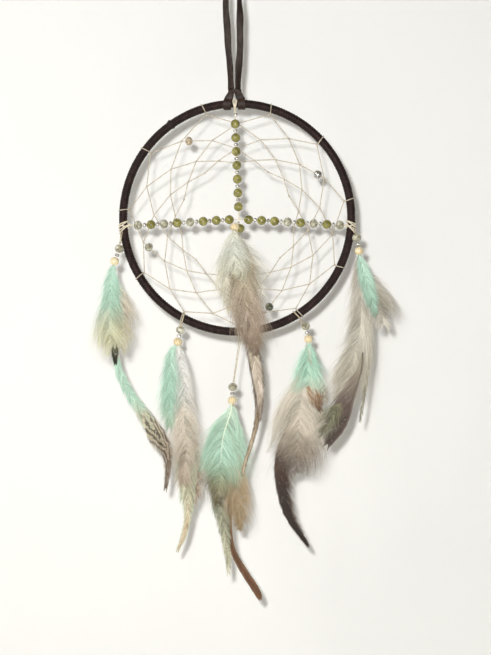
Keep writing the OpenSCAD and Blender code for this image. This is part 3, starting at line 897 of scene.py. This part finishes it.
def make_web_beads():
    """The four odd beads that are caught in the web, each free to turn on its thread."""
    rng = np.random.default_rng(31)
    for name, material, slot in (("beige", BEIGE, "beige_glass"), ("silver_round", SILVER, "silver"),
                                 ("silver_faceted", PICASSO, "cut_glass"),
                                 ("green_faceted", DARK_PICASSO, "cut_glass")):
        node = "web_bead_" + name
        axis = np.array(JOINTS[node + "_spin"]["axis"])
        shape = Shape()
        if name == "silver_round":
            lathe(shape, round_profile(2.9, 0.5), centre_mm(node), axis, 40)
        elif name == "beige":
            melon_bead(shape, centre_mm(node), axis, 2.9)
        else:
            cut_bead(shape, centre_mm(node), axis, 2.95, rng)
        is_smooth = name in ("silver_round", "beige")
        shape.piece("caught_bead_" + name, material, node, [node], slot, is_smooth)


def melon_bead(shape, centre, axis, radius):
    """A pressed bead with petals round it."""
    sides, rows = 48, 18
    profile = round_profile(radius, 0.5, 0.82, rows)
    turn = np.arange(sides) * 2 * math.pi / sides
    points = []
    for r, z in profile:
        share = max(0.0, (r - 0.6) / radius)
        ripple = 1 - 0.2 * share * (0.5 - 0.5 * np.cos(turn * 7)) ** 2
        points.append(np.stack([r * ripple * np.cos(turn), r * ripple * np.sin(turn),
                                np.full(sides, z)], 1))
    points = np.concatenate(points) @ turned(axis).T + centre
    shape.add(points, grid(len(profile), sides, True, True))


# ------------------------------------------------------------------ bundles

BUNDLES = ["left", "lower_left", "bottom", "lower_right", "right", "centre"]


def make_bundle_beads(bundle):
    """A bundle's beads ride with its feathers; its thread swings from the hoop."""
    rng = np.random.default_rng(len(bundle) * 7)
    axis = bead_axis(bundle)
    body = bundle + "_feathers"
    if bundle == "centre":
        shape = Shape()
        round_bead(shape, centre_mm("centre_green_bead"), axis, 3.05, rng)
        shape.piece("centre_bundle_green_bead", OLIVE, body, ["centre_green_bead"], "olive_stone")
    else:
        shape = Shape()
        cut_bead(shape, centre_mm(bundle + "_cut_bead"), axis, 3.1, rng)
        shape.piece(bundle + "_bundle_cut_bead", PICASSO, body, [bundle + "_cut_bead"], "cut_glass",
                    smooth=False)
        shape = Shape()
        seed_bead(shape, centre_mm(bundle + "_spacer"), axis, 1.6, 1.9, rng)
        shape.piece(bundle + "_bundle_seed_bead", SILVER, body, [bundle + "_spacer"], "silver")
    shape = Shape()
    round_bead(shape, centre_mm(bundle + "_wood_bead"), axis, 2.9, rng, 0.94)
    shape.piece(bundle + "_bundle_wood_bead", WOOD, body, [bundle + "_wood_bead"], "pale_wood")


LOOPS = {"lower_left": 241.7, "bottom": 271.5, "lower_right": 301.4}


def make_bundle_thread(bundle):
    """The doubled thread from the hoop down to the first bead."""
    first = centre_mm(bundle + ("_green_bead" if bundle == "centre" else "_cut_bead"))
    shape = Shape()
    if bundle in LOOPS:
        angle = LOOPS[bundle]
        loop = tube_arc(angle - 0.6, 1.2, TUBE_R + 0.65, -170, 190, 34)
        tube(shape, loop, 0.4, 8)
        top = on_hoop(angle, HOOP_R + TUBE_R + 0.9)
    else:
        top = np.array(JOINTS[bundle + "_swing"]["pos_m"]) / MM
    way = unit(top - first)
    end = first + way * (3.5 if bundle == "centre" else 3.1)
    side = unit(np.cross(way, FRONT))
    for k in (-1, 1):
        middle = (top + end) / 2 + side * 0.35 * k
        twine(shape, curve([top + side * 0.5 * k, middle, end + side * 0.18 * k], 0.4), 0.26)
    small_knot(shape, end + way * 0.7, way, 0.36, 1.2)
    thread = bundle + "_thread"
    shape.piece(bundle + "_bundle_thread", THREAD, thread, [thread], "cream_thread")


# ------------------------------------------------------------------ feathers

def blade(node, count=46):
    """The middle line and half width of a feather's CAD blade, from its slices by height."""
    mesh = NODES[node].data
    mesh.calc_loop_triangles()
    points = np.array([v.co for v in mesh.vertices]) / MM
    front = points[:, 1].min()
    corners = np.array([t.vertices[:] for t in mesh.loop_triangles])
    corners = corners[(np.abs(points[corners][:, :, 1] - front) < 1e-3).all(1)]
    a = points[corners.ravel()]
    b = points[corners[:, [1, 2, 0]].ravel()]
    top, bottom = points[:, 2].max() - 0.05, points[:, 2].min() + 0.05
    middle_y = (front + points[:, 1].max()) / 2
    line, half = [], []
    for z in np.linspace(top, bottom, count):
        crossed = (a[:, 2] - z) * (b[:, 2] - z) < 0
        share = (z - a[crossed, 2]) / (b[crossed, 2] - a[crossed, 2])
        xs = a[crossed, 0] + share * (b[crossed, 0] - a[crossed, 0])
        line.append([(xs.min() + xs.max()) / 2, middle_y, z])
        half.append((xs.max() - xs.min()) / 2)
    line, half = np.array(line), np.array(half)
    way = unit(np.gradient(line, axis=0))
    return line, half * np.abs(way[:, 2])


class Shaft:
    """A feather's shaft, and where a point beside it lies. Skew moves the shaft from the middle
    of the outline, -1 or 1 to one of its edges."""

    def __init__(self, line, half, bow, skew):
        line, half = np.asarray(line, float), np.asarray(half, float)
        s = lengths_along(line)
        self.length = s[-1]
        self.s = np.linspace(0, self.length, 90)
        self.points = np.stack([np.interp(self.s, s, line[:, k]) for k in range(3)], 1)
        self.points[:, 1] += bow * np.sin(np.pi * (self.s / self.length) ** 0.8)
        for _ in range(4):
            self.points[1:-1] = (self.points[:-2] + 2 * self.points[1:-1] + self.points[2:]) / 4
        self.half = np.interp(self.s, s, half)
        for _ in range(6):
            self.half[1:-1] = (self.half[:-2] + 2 * self.half[1:-1] + self.half[2:]) / 4
        self.skew = skew
        self.turn()
        self.points = self.points + self.side * (skew * self.half * self.ease())[:, None]
        self.turn()

    def turn(self):
        self.way = unit(np.gradient(self.points, axis=0))
        self.side = unit(np.cross(FRONT, self.way))
        self.face = np.cross(self.way, self.side)

    def ease(self):
        share = self.s / self.length
        return np.clip(share / 0.2, 0, 1) * np.clip((1 - share) / 0.15, 0, 1)

    def at(self, values, s):
        inside = np.clip(s, 0, self.length)
        return np.stack([np.interp(inside, self.s, values[:, k]) for k in range(3)], -1)

    def beside(self, s, out, forward):
        """The point at a length down the shaft, out to its side and in front of it."""
        past = np.maximum(s - self.length, 0)[..., None]
        return (self.at(self.points, s) + self.at(self.way, s) * past
                + self.at(self.side, s) * out[..., None] + self.at(self.face, s) * forward[..., None])

    def width(self, s, side):
        room = np.interp(np.clip(s, 0, self.length), self.s, self.half)
        skew = self.skew * np.interp(np.clip(s, 0, self.length), self.s, self.ease())
        return room * (1 - side * skew)


def soft_noise(rng, at, size):
    """Smooth random numbers from -1 to 1 along a line, with bumps of about that size."""
    knots = rng.random(int(at.max() / size) + 4) * 2 - 1
    u = at / size
    i = np.floor(u).astype(int)
    f = u - i
    f = f * f * (3 - 2 * f)
    return knots[i] * (1 - f) + knots[i + 1] * f


# How each kind of plumage grows. dense is barbs to a millimetre on each side. lean is how far a
# barb runs down for each millimetre out. bulge bends it outward at first. spread is how far barbs
# lie front to back, wave curls them, mess makes neighbours unlike, stray lets some pass the edge,
# strays is how many do, ragged makes their lengths unlike, tuft is the length of a clump of like
# barbs, twist turns them on themselves, camber drops the edges back, rachis is the share of the
# length where the shaft can be seen, and thick is the shaft's radius at its root.
KINDS = {
    "down": dict(dense=24.0, lean=1.7, width=0.11, steps=9, bulge=1.5, spread=2.4, wave=0.95,
                 mess=1.0, ragged=0.95, stray=0.6, strays=2.6, twist=1.5, camber=0.05,
                 rachis=0.5, thick=0.2, tuft=1.5),
    "plume": dict(dense=22.0, lean=2.2, width=0.12, steps=8, bulge=1.4, spread=1.8, wave=0.6,
                  mess=0.8, ragged=0.8, stray=0.45, strays=2.0, twist=1.3, camber=0.06,
                  rachis=0.7, thick=0.22, tuft=1.5),
    "vane": dict(dense=9.0, lean=2.0, width=0.30, steps=7, bulge=1.25, spread=0.35, wave=0.06,
                 mess=0.16, ragged=0.12, stray=0.12, twist=0.35, camber=0.14, rachis=1.0, thick=0.3),
    "hackle": dict(dense=11.0, lean=2.3, width=0.2, steps=7, bulge=1.2, spread=0.6, wave=0.16,
                   mess=0.4, ragged=0.45, stray=0.3, strays=1.6, twist=0.6, camber=0.12,
                   rachis=0.95, thick=0.24),
}


def add_barbs(shape, shaft, rng, k):
    """The barbs of a feather, each a thin ribbon that leaves the shaft and sweeps to its tip."""
    bare = 1.0
    run = shaft.length * k.get("until", 0.985) - bare
    count = int(run * k["dense"])
    steps, mess = k["steps"], k["mess"]
    u = np.linspace(0, 1, steps)[None]
    for side in (-1, 1):
        s0 = bare + run * np.sort(rng.random(count))
        clump = soft_noise(rng, s0, k.get("tuft", 1.9))
        broad = soft_noise(rng, s0, 8.0)
        odd, chance = rng.random(count), rng.random(count)
        lean = k["lean"] * (1 + mess * (1.0 * (chance - 0.5) + 0.3 * clump + 0.25 * broad))
        lean = np.maximum(lean, 0.5)
        reach = shaft.width(s0, side)
        for _ in range(4):
            reach = 0.5 * reach + 0.5 * shaft.width(s0 + lean * reach, side)
        reach = reach * (1 + k["ragged"] * (rng.random(count) - 0.68) + 0.26 * clump * mess)
        far = odd > 1 - 0.1 * k.get("strays", 1.0)
        reach = np.where(far, reach * (1 + k["stray"] * rng.random(count)) + k["stray"], reach) + 0.15
        left = shaft.length - s0
        forward = np.minimum(lean * reach * np.where(far, 0.8, 1.0) + 0.8,
                             left + 1.0 + 5.0 * mess * chance)
        forward = np.maximum(forward, np.minimum(left * 0.9, 3.5 * mess + 0.6))
        out = reach[:, None] * (1 - (1 - u) ** k["bulge"])
        s = s0[:, None] + forward[:, None] * u ** 1.1
        phase = rng.random((count, 1)) + 0.15 * clump[:, None]
        waves = np.sin((u * (0.8 + 0.9 * rng.random((count, 1))) + phase) * 2 * math.pi)
        out = out + k["wave"] * waves * u ** 1.3 * (0.3 + 0.7 * rng.random((count, 1)))
        spread = rng.random(count) - 0.5 + 0.4 * clump * mess + 0.25 * broad
        deep = k["spread"] * spread[:, None] * u ** 0.7 - k["camber"] * out + 0.1
        deep = deep + 0.6 * k["wave"] * np.roll(waves, 1, 0) * u
        centre = shaft.beside(s, side * out, deep)
        way = unit(np.gradient(centre, axis=1))
        flat = unit(np.cross(way, shaft.at(shaft.face, s)))
        turn = ((rng.random((count, 1)) - 0.5) * 2 * k["twist"]
                + k["twist"] * (0.5 * u - 0.25 + 0.25 * side))
        flat = flat * np.cos(turn)[..., None] + np.cross(way, flat) * np.sin(turn)[..., None]
        taper = np.interp(u[0], [0, 0.12, 0.6, 1], [0.8, 1, 0.85, 0.15])
        wide = k["width"] / 2 * taper * (0.7 + 0.6 * rng.random((count, 1)))
        edges = np.stack([centre - flat * wide[..., None], centre + flat * wide[..., None]], 2)
        tint = np.clip(0.5 + 0.14 * clump + 0.7 * (rng.random(count) - 0.5) + 0.12 * broad, 0, 1)
        share = np.clip(out / np.maximum(shaft.width(s, side), 0.6), 0.03, 1)
        marks = np.stack([s / shaft.length, share, np.repeat(tint[:, None], steps, 1)], -1)
        marks = np.repeat(marks[:, :, None], 2, 2)
        faces = grid(steps, 2)[None] + (np.arange(count) * steps * 2)[:, None, None]
        shape.add(edges.reshape(-1, 3), faces.reshape(-1, 4), marks.reshape(-1, 3))


def make_feather(name, bundle, route, kind, slot, colours, seed, replaces=(), depth=0.0, paint=None,
                 root=True, bow=0.0, skew=0.0, **changes):
    """A feather. Its route is the name of a CAD blade, or [x, z, half width] points from the wood
    bead's centre. The shaft is thickest where it leaves the bead, and hair-thin at its tip."""
    rng = np.random.default_rng(seed)
    bead = centre_mm(bundle + "_wood_bead")
    if isinstance(route, str):
        line, half = blade(route)
    else:
        rows = np.array(route, float)
        smooth = curve(np.stack([rows[:, 0], rows[:, 2], rows[:, 1]], 1), 1.0)
        line = np.stack([smooth[:, 0], np.zeros(len(smooth)), smooth[:, 2]], 1) + bead
        half = np.maximum(smooth[:, 1], 0.1)
    line = line + np.array([0, depth, 0])
    if root:
        line = np.vstack([[bead + [0, 0, -0.8]], line])
        half = np.concatenate([[0.2], half])
    k = {**KINDS[kind], **changes}
    shaft = Shaft(line, half, bow, skew)
    shape = Shape()
    share = shaft.s / shaft.length
    seen = share <= k["rachis"]
    radius = k["thick"] * (1 - 0.8 * share[seen] / k["rachis"])
    tube(shape, shaft.points[seen], radius, 6)
    rows = np.repeat(share[seen], 6)
    shape.marks[-1] = np.stack([np.concatenate([rows, [0, k["rachis"]]]), np.zeros(len(rows) + 2),
                                np.full(len(rows) + 2, 0.5)], 1)
    add_barbs(shape, shaft, rng, k)
    material = feather_material(name + "_barbs", colours, **(paint or {}))
    return shape.piece(name, material, bundle + "_feathers", replaces, slot)


def make_left_feathers():
    make_feather("left_mint_down", "left",
                 [[-0.6, -3, 1.0], [-1.8, -7, 3.0], [-2.4, -17, 4.2], [-2.6, -27, 5.0],
                  [-3.2, -36, 7.6], [-3.4, -46, 9.0], [-2.2, -54, 6.5], [-1.5, -59, 3]],
                 "down", "mint_down",
                 [(0.0, "#d8f9e4"), (0.3, "#c7f0d9"), (0.5, "#c2e9ce"), (0.66, "#cfd6b6"),
                  (0.85, "#dedcb0"), (1.0, "#f3f0d4")], 101, ["left_down"], depth=-0.6)
    make_feather("left_tan_down", "left",
                 [[0.5, -12, 1.5], [2.6, -20, 3.4], [4.8, -30, 5.2], [5.8, -40, 5.6], [5, -50, 4.6],
                  [4, -57, 2]],
                 "down", "cream_plume",
                 [(0.0, "#e6ead8"), (0.4, "#e8dac0"), (0.7, "#dfd2b0"), (1.0, "#d5cfa6")], 102,
                 depth=0.9, paint=dict(speckle="#9b846e"), dense=17.0, root=False)
    for x, seed in ((-0.9, 103), (1.6, 107)):
        make_feather("left_dark_tip_" + str(seed), "left",
                     [[x, -54, 0.9], [x * 0.8, -58, 1.3], [0.3 + x * 0.3, -63, 0.9], [0.7, -67, 0.2]],
                     "hackle", "dark_hackle", [(0.0, "#6d6c50"), (0.5, "#3f3e2c"), (1.0, "#2c2a20")],
                     seed, depth=-1.6 - 0.2 * x, root=False, paint=dict(white=0.0), mess=0.7, until=0.9)
    make_feather("left_barred_hackle", "left",
                 [[0, -3, 0.5], [-0.8, -20, 0.5], [-1, -40, 0.8], [-0.2, -56, 1.4], [1.4, -66.5, 2.2],
                  [5.5, -78.5, 2.9], [11.4, -89.4, 3.3], [17, -97, 3.9], [22.4, -105.8, 4.9],
                  [27.8, -114.5, 5.4], [32.2, -121, 4.4], [34.6, -128.7, 2.2], [34.2, -138.5, 1.4],
                  [32.7, -149.4, 0.6]], "hackle", "barred_hackle",
                 [(0.0, "#ceedd7"), (0.45, "#cbecd6"), (0.6, "#c7e8d1"), (0.7, "#cbc1a3"),
                  (0.85, "#b3a189"), (1.0, "#7d6b58")], 104, ["left_hackle"], mess=0.6,
                 depth=1.4, paint=dict(white=0.15, bars=("#4a3a2a", 11.0, 1.8, 0.66, 1.0, 0.55)),
                 skew=0.3)


def make_lower_left_feathers():
    make_feather("lower_left_mint_down", "lower_left",
                 [[-0.5, -2, 1], [-3, -5, 2], [-4.4, -10, 3.2], [-4.4, -21, 4.9], [-4.8, -32, 5.5],
                  [-4.9, -42, 5.4], [-5.2, -49, 3.6], [-5.7, -56, 1.2]], "down", "mint_down",
                 [(0.0, "#ddfbe7"), (0.3, "#ccf3dd"), (0.7, "#c2edd5"), (1.0, "#cae4c8")], 111,
                 ["lower_left_down"], lean=2.4)
    make_feather("lower_left_white_plume", "lower_left",
                 [[0.3, -3, 1.4], [1.4, -10, 2.8], [3.6, -21, 3.8], [4.5, -32, 4.6], [4.4, -42.5, 6],
                  [4.2, -53, 7.4], [5.6, -64, 8.2], [5.4, -75, 7], [4, -86, 4.6], [3.4, -94, 2]],
                 "down", "cream_plume",
                 [(0.0, "#fefefa"), (0.35, "#fdfcf6"), (0.5, "#f8efde"), (0.75, "#ecdfc8"),
                  (1.0, "#d3c0a6")], 112, ["lower_left_plume"], paint=dict(speckle="#c3a98e"))
    make_feather("lower_left_barred_feather", "lower_left",
                 [[3, -45, 2.2], [6.5, -62, 4.4], [8.8, -76, 5.6], [10.6, -88, 5.2], [11.4, -99, 3.6],
                  [11, -106, 0.8]], "plume", "barred_hackle",
                 [(0.0, "#e4d6bc"), (0.5, "#dac8aa"), (1.0, "#c9b295")], 113, depth=2.6,
                 paint=dict(bars=("#86664a", 7.0, 0.8, 0.3, 1.0, 0.5)), dense=15.0, root=False)
    make_feather("lower_left_olive_hackle", "lower_left", "lower_left_hackle", "hackle",
                 "barred_hackle",
                 [(0.0, "#e4dabc"), (0.45, "#dcd3b0"), (0.62, "#cccfae"), (0.78, "#d3cba8"),
                  (0.88, "#dfc79c"), (1.0, "#ead9b8")], 114, ["lower_left_hackle"], mess=0.65,
                 paint=dict(edge=("#bcd6b2", 0.55, 0.95, 0.45), speckle="#a08a64"))


def make_bottom_feathers():
    make_feather("bottom_mint_feather", "bottom", "bottom_down", "plume", "mint_down",
                 [(0.0, "#e2f3e2"), (0.3, "#cff3d9"), (0.55, "#c5edd4"), (0.72, "#b8d6b6"),
                  (0.84, "#aba97f"), (1.0, "#7a6c48")], 121, ["bottom_down"], lean=1.7, bulge=1.9,
                 rachis=0.62, thick=0.6, paint=dict(shaft="#eef8de"), depth=-0.4, skew=-0.2,
                 wave=0.4)
    make_feather("bottom_cream_fluff", "bottom",
                 [[-1, -10, 2.5], [-6, -20, 6], [-10.5, -30, 7.5], [-13.5, -40, 5.5], [-15, -48, 1.5]],
                 "down", "cream_plume", [(0.0, "#f3f7ec"), (0.5, "#eef0e2"), (1.0, "#ede4ca")], 122,
                 depth=0.7, dense=15.0, root=False)
    make_feather("bottom_olive_fluff", "bottom",
                 [[-3, -34, 4], [-6.5, -42, 8], [-8.5, -50, 8.5], [-9, -58, 5.5], [-9, -66, 1.5]],
                 "down", "tan_feather", [(0.0, "#b4b89a"), (0.35, "#938865"), (1.0, "#7b6a48")], 123,
                 depth=-0.9, root=False, paint=dict(white=0.12, speckle="#453820"), lean=2.2)
    make_feather("bottom_tan_plume", "bottom", "bottom_plume", "down", "tan_feather",
                 [(0.0, "#d9c6a4"), (0.5, "#d3bd98"), (0.75, "#cbb188"), (1.0, "#bca378")], 124,
                 ["bottom_plume"], lean=2.4, spread=1.4, paint=dict(white=0.2, speckle="#9c8154"))
    make_feather("bottom_streaked_hackle", "bottom", "bottom_hackle", "hackle", "barred_hackle",
                 [(0.0, "#b9bba0"), (0.45, "#8f9077"), (0.65, "#a5a78c"), (0.85, "#c8c5a6"),
                  (1.0, "#e2ddc4")], 125, ["bottom_hackle"], mess=0.5,
                 paint=dict(white=0.2, speckle="#3f3a2a"))
    make_feather("bottom_brown_quill", "bottom", "bottom_quill", "vane", "dark_hackle",
                 [(0.0, "#5f4830"), (0.7, "#79573c"), (1.0, "#744e36")], 126, ["bottom_quill"],
                 lean=2.4, dense=13.0, thick=0.5,
                 paint=dict(white=0.0, shaft="#3f2a1c", edge=("#93775a", 0.5, 1.0, 0.5)))


def make_lower_right_feathers():
    make_feather("lower_right_mint_down", "lower_right",
                 [[0.3, -3, 1.2], [0.4, -7.5, 5.4], [-0.5, -13.7, 6.8], [-0.6, -20, 8.0],
                  [-0.3, -26.5, 9.2], [-0.3, -31, 7.5]], "down", "mint_down",
                 [(0.0, "#d8fae5"), (0.4, "#c2f0d7"), (0.75, "#c5f3d9"), (1.0, "#def4de")], 131,
                 ["lower_right_down"], depth=0.1, lean=2.2)
    make_feather("lower_right_brown_feather", "lower_right",
                 [[0, -3, 0.5], [0.8, -24, 2], [2.6, -31, 7], [4, -37, 5.6], [6, -42, 3],
                  [8, -46.5, 0.6]],
                 "hackle", "tan_feather",
                 [(0.0, "#cdb18a"), (0.6, "#b38f60"), (0.85, "#93693e"), (1.0, "#5a3c22")], 132,
                 ["lower_right_quill"], mess=0.6, dense=16.0, depth=0.4,
                 paint=dict(white=0.1, shaft="#5a3a20", speckle="#6b4a2a"))
    make_feather("lower_right_cream_fluff", "lower_right", "lower_right_plume", "down",
                 "cream_plume", [(0.0, "#faf4e2"), (0.45, "#f2e8d4"), (0.66, "#e4d8c2"),
                                 (0.82, "#aa9880"),
                                 (1.0, "#7d6d62")], 133, ["lower_right_plume"], dense=34.0,
                 lean=1.6, stray=0.35, strays=1.6, spread=1.3, rachis=0.8, thick=0.16,
                 paint=dict(shaft="#9a8a7c"))
    make_feather("lower_right_striped_wisps", "lower_right",
                 [[4, -24, 1.5], [7, -30, 3], [9.5, -36, 3.4], [10.5, -41, 1.5]], "hackle",
                 "barred_hackle", [(0.0, "#dcdec8"), (1.0, "#bbab8c")], 134, depth=0.5, dense=3.5,
                 paint=dict(bars=("#5a4a38", 6.0, 1.0, 0.0, 1.0, 0.5)), root=False, mess=0.8, lean=1.3)
    make_feather("lower_right_dark_hackle", "lower_right", "lower_right_hackle", "hackle",
                 "dark_hackle", [(0.0, "#938072"), (0.42, "#7a6558"), (0.56, "#5f4638"),
                                 (0.7, "#453831"), (1.0, "#261c17")], 135, ["lower_right_hackle"],
                 skew=-0.55, mess=0.5, dense=14.0,
                 paint=dict(white=0.0, shaft="#2c211b", edge=("#7a6658", 0.6, 1.0, 0.45)))


def make_right_feathers():
    make_feather("right_mint_feather", "right",
                 [[0.3, -3, 1.2], [1.4, -8, 3.2], [3.8, -16, 3.8], [6.2, -24, 3.8], [8.2, -31, 3.3],
                  [9.4, -37, 2], [9.8, -42, 0.6]], "plume", "mint_down",
                 [(0.0, "#d8f7e4"), (0.35, "#c5ebd6"), (0.7, "#b8dfc8"), (1.0, "#a0c9af")], 141,
                 ["right_down"], depth=-0.5)
    make_feather("right_grey_fluff", "right",
                 [[3, -12, 2.5], [7.5, -21, 5.5], [12, -30, 7.8], [14.6, -39, 7], [16, -48, 2.5]],
                 "down", "cream_plume", [(0.0, "#e2dbca"), (0.4, "#beb5a2"), (0.75, "#bbb29e"),
                                         (1.0, "#ede7d7")], 142, depth=0.5, root=False)
    make_feather("right_pale_plume", "right",
                 [[0.2, -3, 1], [0.6, -12, 4], [1.4, -25, 6], [1.4, -40, 6.3], [0.6, -52, 6.6],
                  [-1.6, -64, 7.4], [-5.2, -77, 8.2], [-8.6, -88, 8], [-11.5, -96, 3.5]],
                 "down", "cream_plume",
                 [(0.0, "#e4ddcd"), (0.3, "#dcd4c3"), (0.6, "#e4ddcb"), (0.8, "#d8cfba"),
                  (1.0, "#cdc3ae")], 143, ["right_plume"], dense=30.0, lean=2.4, rachis=0.3, depth=0.6)
    make_feather("right_dark_vane", "right",
                 [[2.4, -66, 0.8], [0.6, -76, 1.6], [-3.6, -85, 3.6],
                  [-7.6, -92, 5.6], [-10.6, -99, 6.6], [-13, -106, 7.2], [-15, -112, 6.6],
                  [-17.4, -119, 4.6], [-20.5, -126, 1.6]], "vane", "dark_hackle",
                 [(0.0, "#b5aa94"), (0.55, "#6e5f56"), (0.66, "#5f5047"), (0.85, "#57483f"),
                  (1.0, "#4c3e37")], 144, ["right_hackle"], skew=0.75, lean=2.3, mess=0.5,
                 depth=-1.2, root=False,
                 paint=dict(white=0.0, shaft="#3f332d", edge=("#9a8d81", 0.6, 1.0, 0.5)))
    make_feather("right_olive_fluff", "right",
                 [[-11, -98, 2.5], [-16.5, -106, 5.2], [-20.5, -113, 5.4], [-23.5, -120, 1.8]],
                 "down", "barred_hackle", [(0.0, "#aba582"), (0.5, "#8c8c64"), (1.0, "#96937a")], 145,
                 depth=-0.7, dense=13.0, root=False, paint=dict(white=0.15, speckle="#55503a"))
    make_feather("right_thin_quill", "right", "right_quill", "hackle", "dark_hackle",
                 [(0.0, "#dfd6ba"), (0.5, "#b5ac8b"), (1.0, "#7e7a60")], 146, ["right_quill"],
                 dense=3.0, mess=0.9, thick=0.26, paint=dict(shaft="#7d785c"))


def make_centre_feathers():
    make_feather("centre_cream_down", "centre", "centre_down", "down", "cream_plume",
                 [(0.0, "#f9f6e2"), (0.5, "#f2f3e6"), (1.0, "#eeebd1")], 151, ["centre_down"],
                 dense=34.0, stray=0.7, depth=-0.4)
    make_feather("centre_white_wisps", "centre",
                 [[1, -5, 2], [6, -14, 5], [11, -24, 7.5], [15, -34, 6.5], [18, -44, 2]], "down",
                 "cream_plume", [(0.0, "#f9f5e4"), (1.0, "#faf6e8")], 152, depth=0.6, dense=8.0,
                 lean=1.5, rachis=0.2, root=False)
    make_feather("centre_left_fluff", "centre",
                 [[-2, -12, 2.5], [-5, -22, 5.5], [-6, -32, 6], [-5, -44, 4], [-3, -54, 1.5]], "down",
                 "cream_plume", [(0.0, "#f2f3e6"), (0.5, "#f0ebd3"), (1.0, "#e2d6ba")], 153, depth=1.9,
                 dense=15.0, root=False)
    make_feather("centre_tan_plume", "centre", "centre_plume", "plume", "tan_feather",
                 [(0.0, "#e2d8ba"), (0.3, "#cfc0a0"), (0.65, "#bfab92"), (0.85, "#ab937a"),
                  (1.0, "#8b7258")], 154, ["centre_plume"], dense=26.0, rachis=0.5,
                 paint=dict(white=0.25, speckle="#7a6248"))
    make_feather("centre_brown_hackle", "centre", "centre_hackle", "hackle", "tan_feather",
                 [(0.0, "#c2b095"), (0.5, "#b39c80"), (0.65, "#d5c6ae"), (0.9, "#c9b6a0"),
                  (1.0, "#7a624a")], 155, ["centre_hackle"],
                 paint=dict(edge=("#5a4430", 0.72, 0.95, 0.9), shaft="#8a7458"))
    make_feather("centre_long_quill", "centre", "centre_quill", "hackle", "dark_hackle",
                 [(0.0, "#ac9876"), (0.5, "#98826a"), (0.66, "#8a7058"), (0.78, "#b19d80"),
                  (1.0, "#d3bfa0")], 156, ["centre_quill"],
                 paint=dict(white=0.15, edge=("#5a4430", 0.6, 0.95, 0.6), shaft="#6b523c"))


# ------------------------------------------------------------------ stage and light

WALL_Y = 0.085
FLOOR_Z = -0.48


def plane(name, corners, material):
    mesh = bpy.data.meshes.new(name)
    mesh.from_pydata(corners, [], [(0, 1, 2, 3)])
    mesh.materials.append(material)
    thing = bpy.data.objects.new(name, mesh)
    bpy.context.scene.collection.objects.link(thing)


def make_stage():
    """A pale wall a little way behind, open from its back, and a pale floor under it."""
    paint = Paint("wall_paint", Roughness=0.9, Specular_IOR_Level=0.1)
    paint.colour(paint.ramp(paint.noise(3.0, 2.0), [(0.3, "#f3f2ef"), (0.7, "#f6f5f2")]))
    front = paint.add("ShaderNodeNewGeometry").outputs["Backfacing"]
    clear = paint.add("ShaderNodeBsdfTransparent")
    both = paint.add("ShaderNodeMixShader", i0=front)
    paint.tree.links.new(paint.shader.outputs[0], both.inputs[1])
    paint.tree.links.new(clear.outputs[0], both.inputs[2])
    paint.tree.links.new(both.outputs[0], paint.tree.nodes["Material Output"].inputs["Surface"])
    plane("wall", [(-3, WALL_Y, FLOOR_Z), (3, WALL_Y, FLOOR_Z), (3, WALL_Y, 2), (-3, WALL_Y, 2)],
          paint.material)
    paint = Paint("floor_paint", Roughness=0.8, Specular_IOR_Level=0.2)
    paint.colour(paint.ramp(paint.noise(3.0, 2.0), [(0.3, "#efeeea"), (0.7, "#f3f2ee")]))
    plane("floor", [(-3, -3, FLOOR_Z), (3, -3, FLOOR_Z), (3, 3, FLOOR_Z), (-3, 3, FLOOR_Z)],
          paint.material)


def area_light(name, place, target, size, power, colour=(1.0, 1.0, 1.0)):
    data = bpy.data.lights.new(name, "AREA")
    data.size = size
    data.energy = power
    data.color = colour
    light = bpy.data.objects.new(name, data)
    light.location = place
    way = np.array(target) - np.array(place)
    light.rotation_euler = Vector(way).to_track_quat("-Z", "Y").to_euler()
    bpy.context.scene.collection.objects.link(light)


def make_lights():
    middle = VIEW_MIDDLE * MM
    area_light("key", (middle[0] - 0.045, -1.0, middle[2] + 0.06), middle, 0.032, 7.6)
    area_light("soft", (middle[0] - 0.75, -0.55, middle[2] + 0.6), middle, 0.5, 3.2, (1.0, 0.985, 0.96))
    area_light("back", (middle[0] + 0.5, 1.4, middle[2] + 0.5), middle, 0.9, 6.0)
    world = bpy.data.worlds.new("studio")
    bpy.context.scene.world = world
    world.use_nodes = True
    background = world.node_tree.nodes["Background"]
    background.inputs["Color"].default_value = (1.0, 0.93, 0.8, 1.0)
    background.inputs["Strength"].default_value = 0.08


# ------------------------------------------------------------------ everything

make_lace()
make_knot()
make_wrap()
make_wrap_end("wrap_lace_end", 124.6, 1.6)
NODES["hoop_ring"].data.materials.clear()
NODES["hoop_ring"].data.materials.append(metal_material())
make_web()
make_strands()
make_threads()
make_web_beads()
for bundle_name in BUNDLES:
    make_bundle_beads(bundle_name)
    make_bundle_thread(bundle_name)
make_left_feathers()
make_lower_left_feathers()
make_bottom_feathers()
make_lower_right_feathers()
make_right_feathers()
make_centre_feathers()
make_stage()
make_lights()
bpy.context.scene.view_settings.view_transform = "Standard"
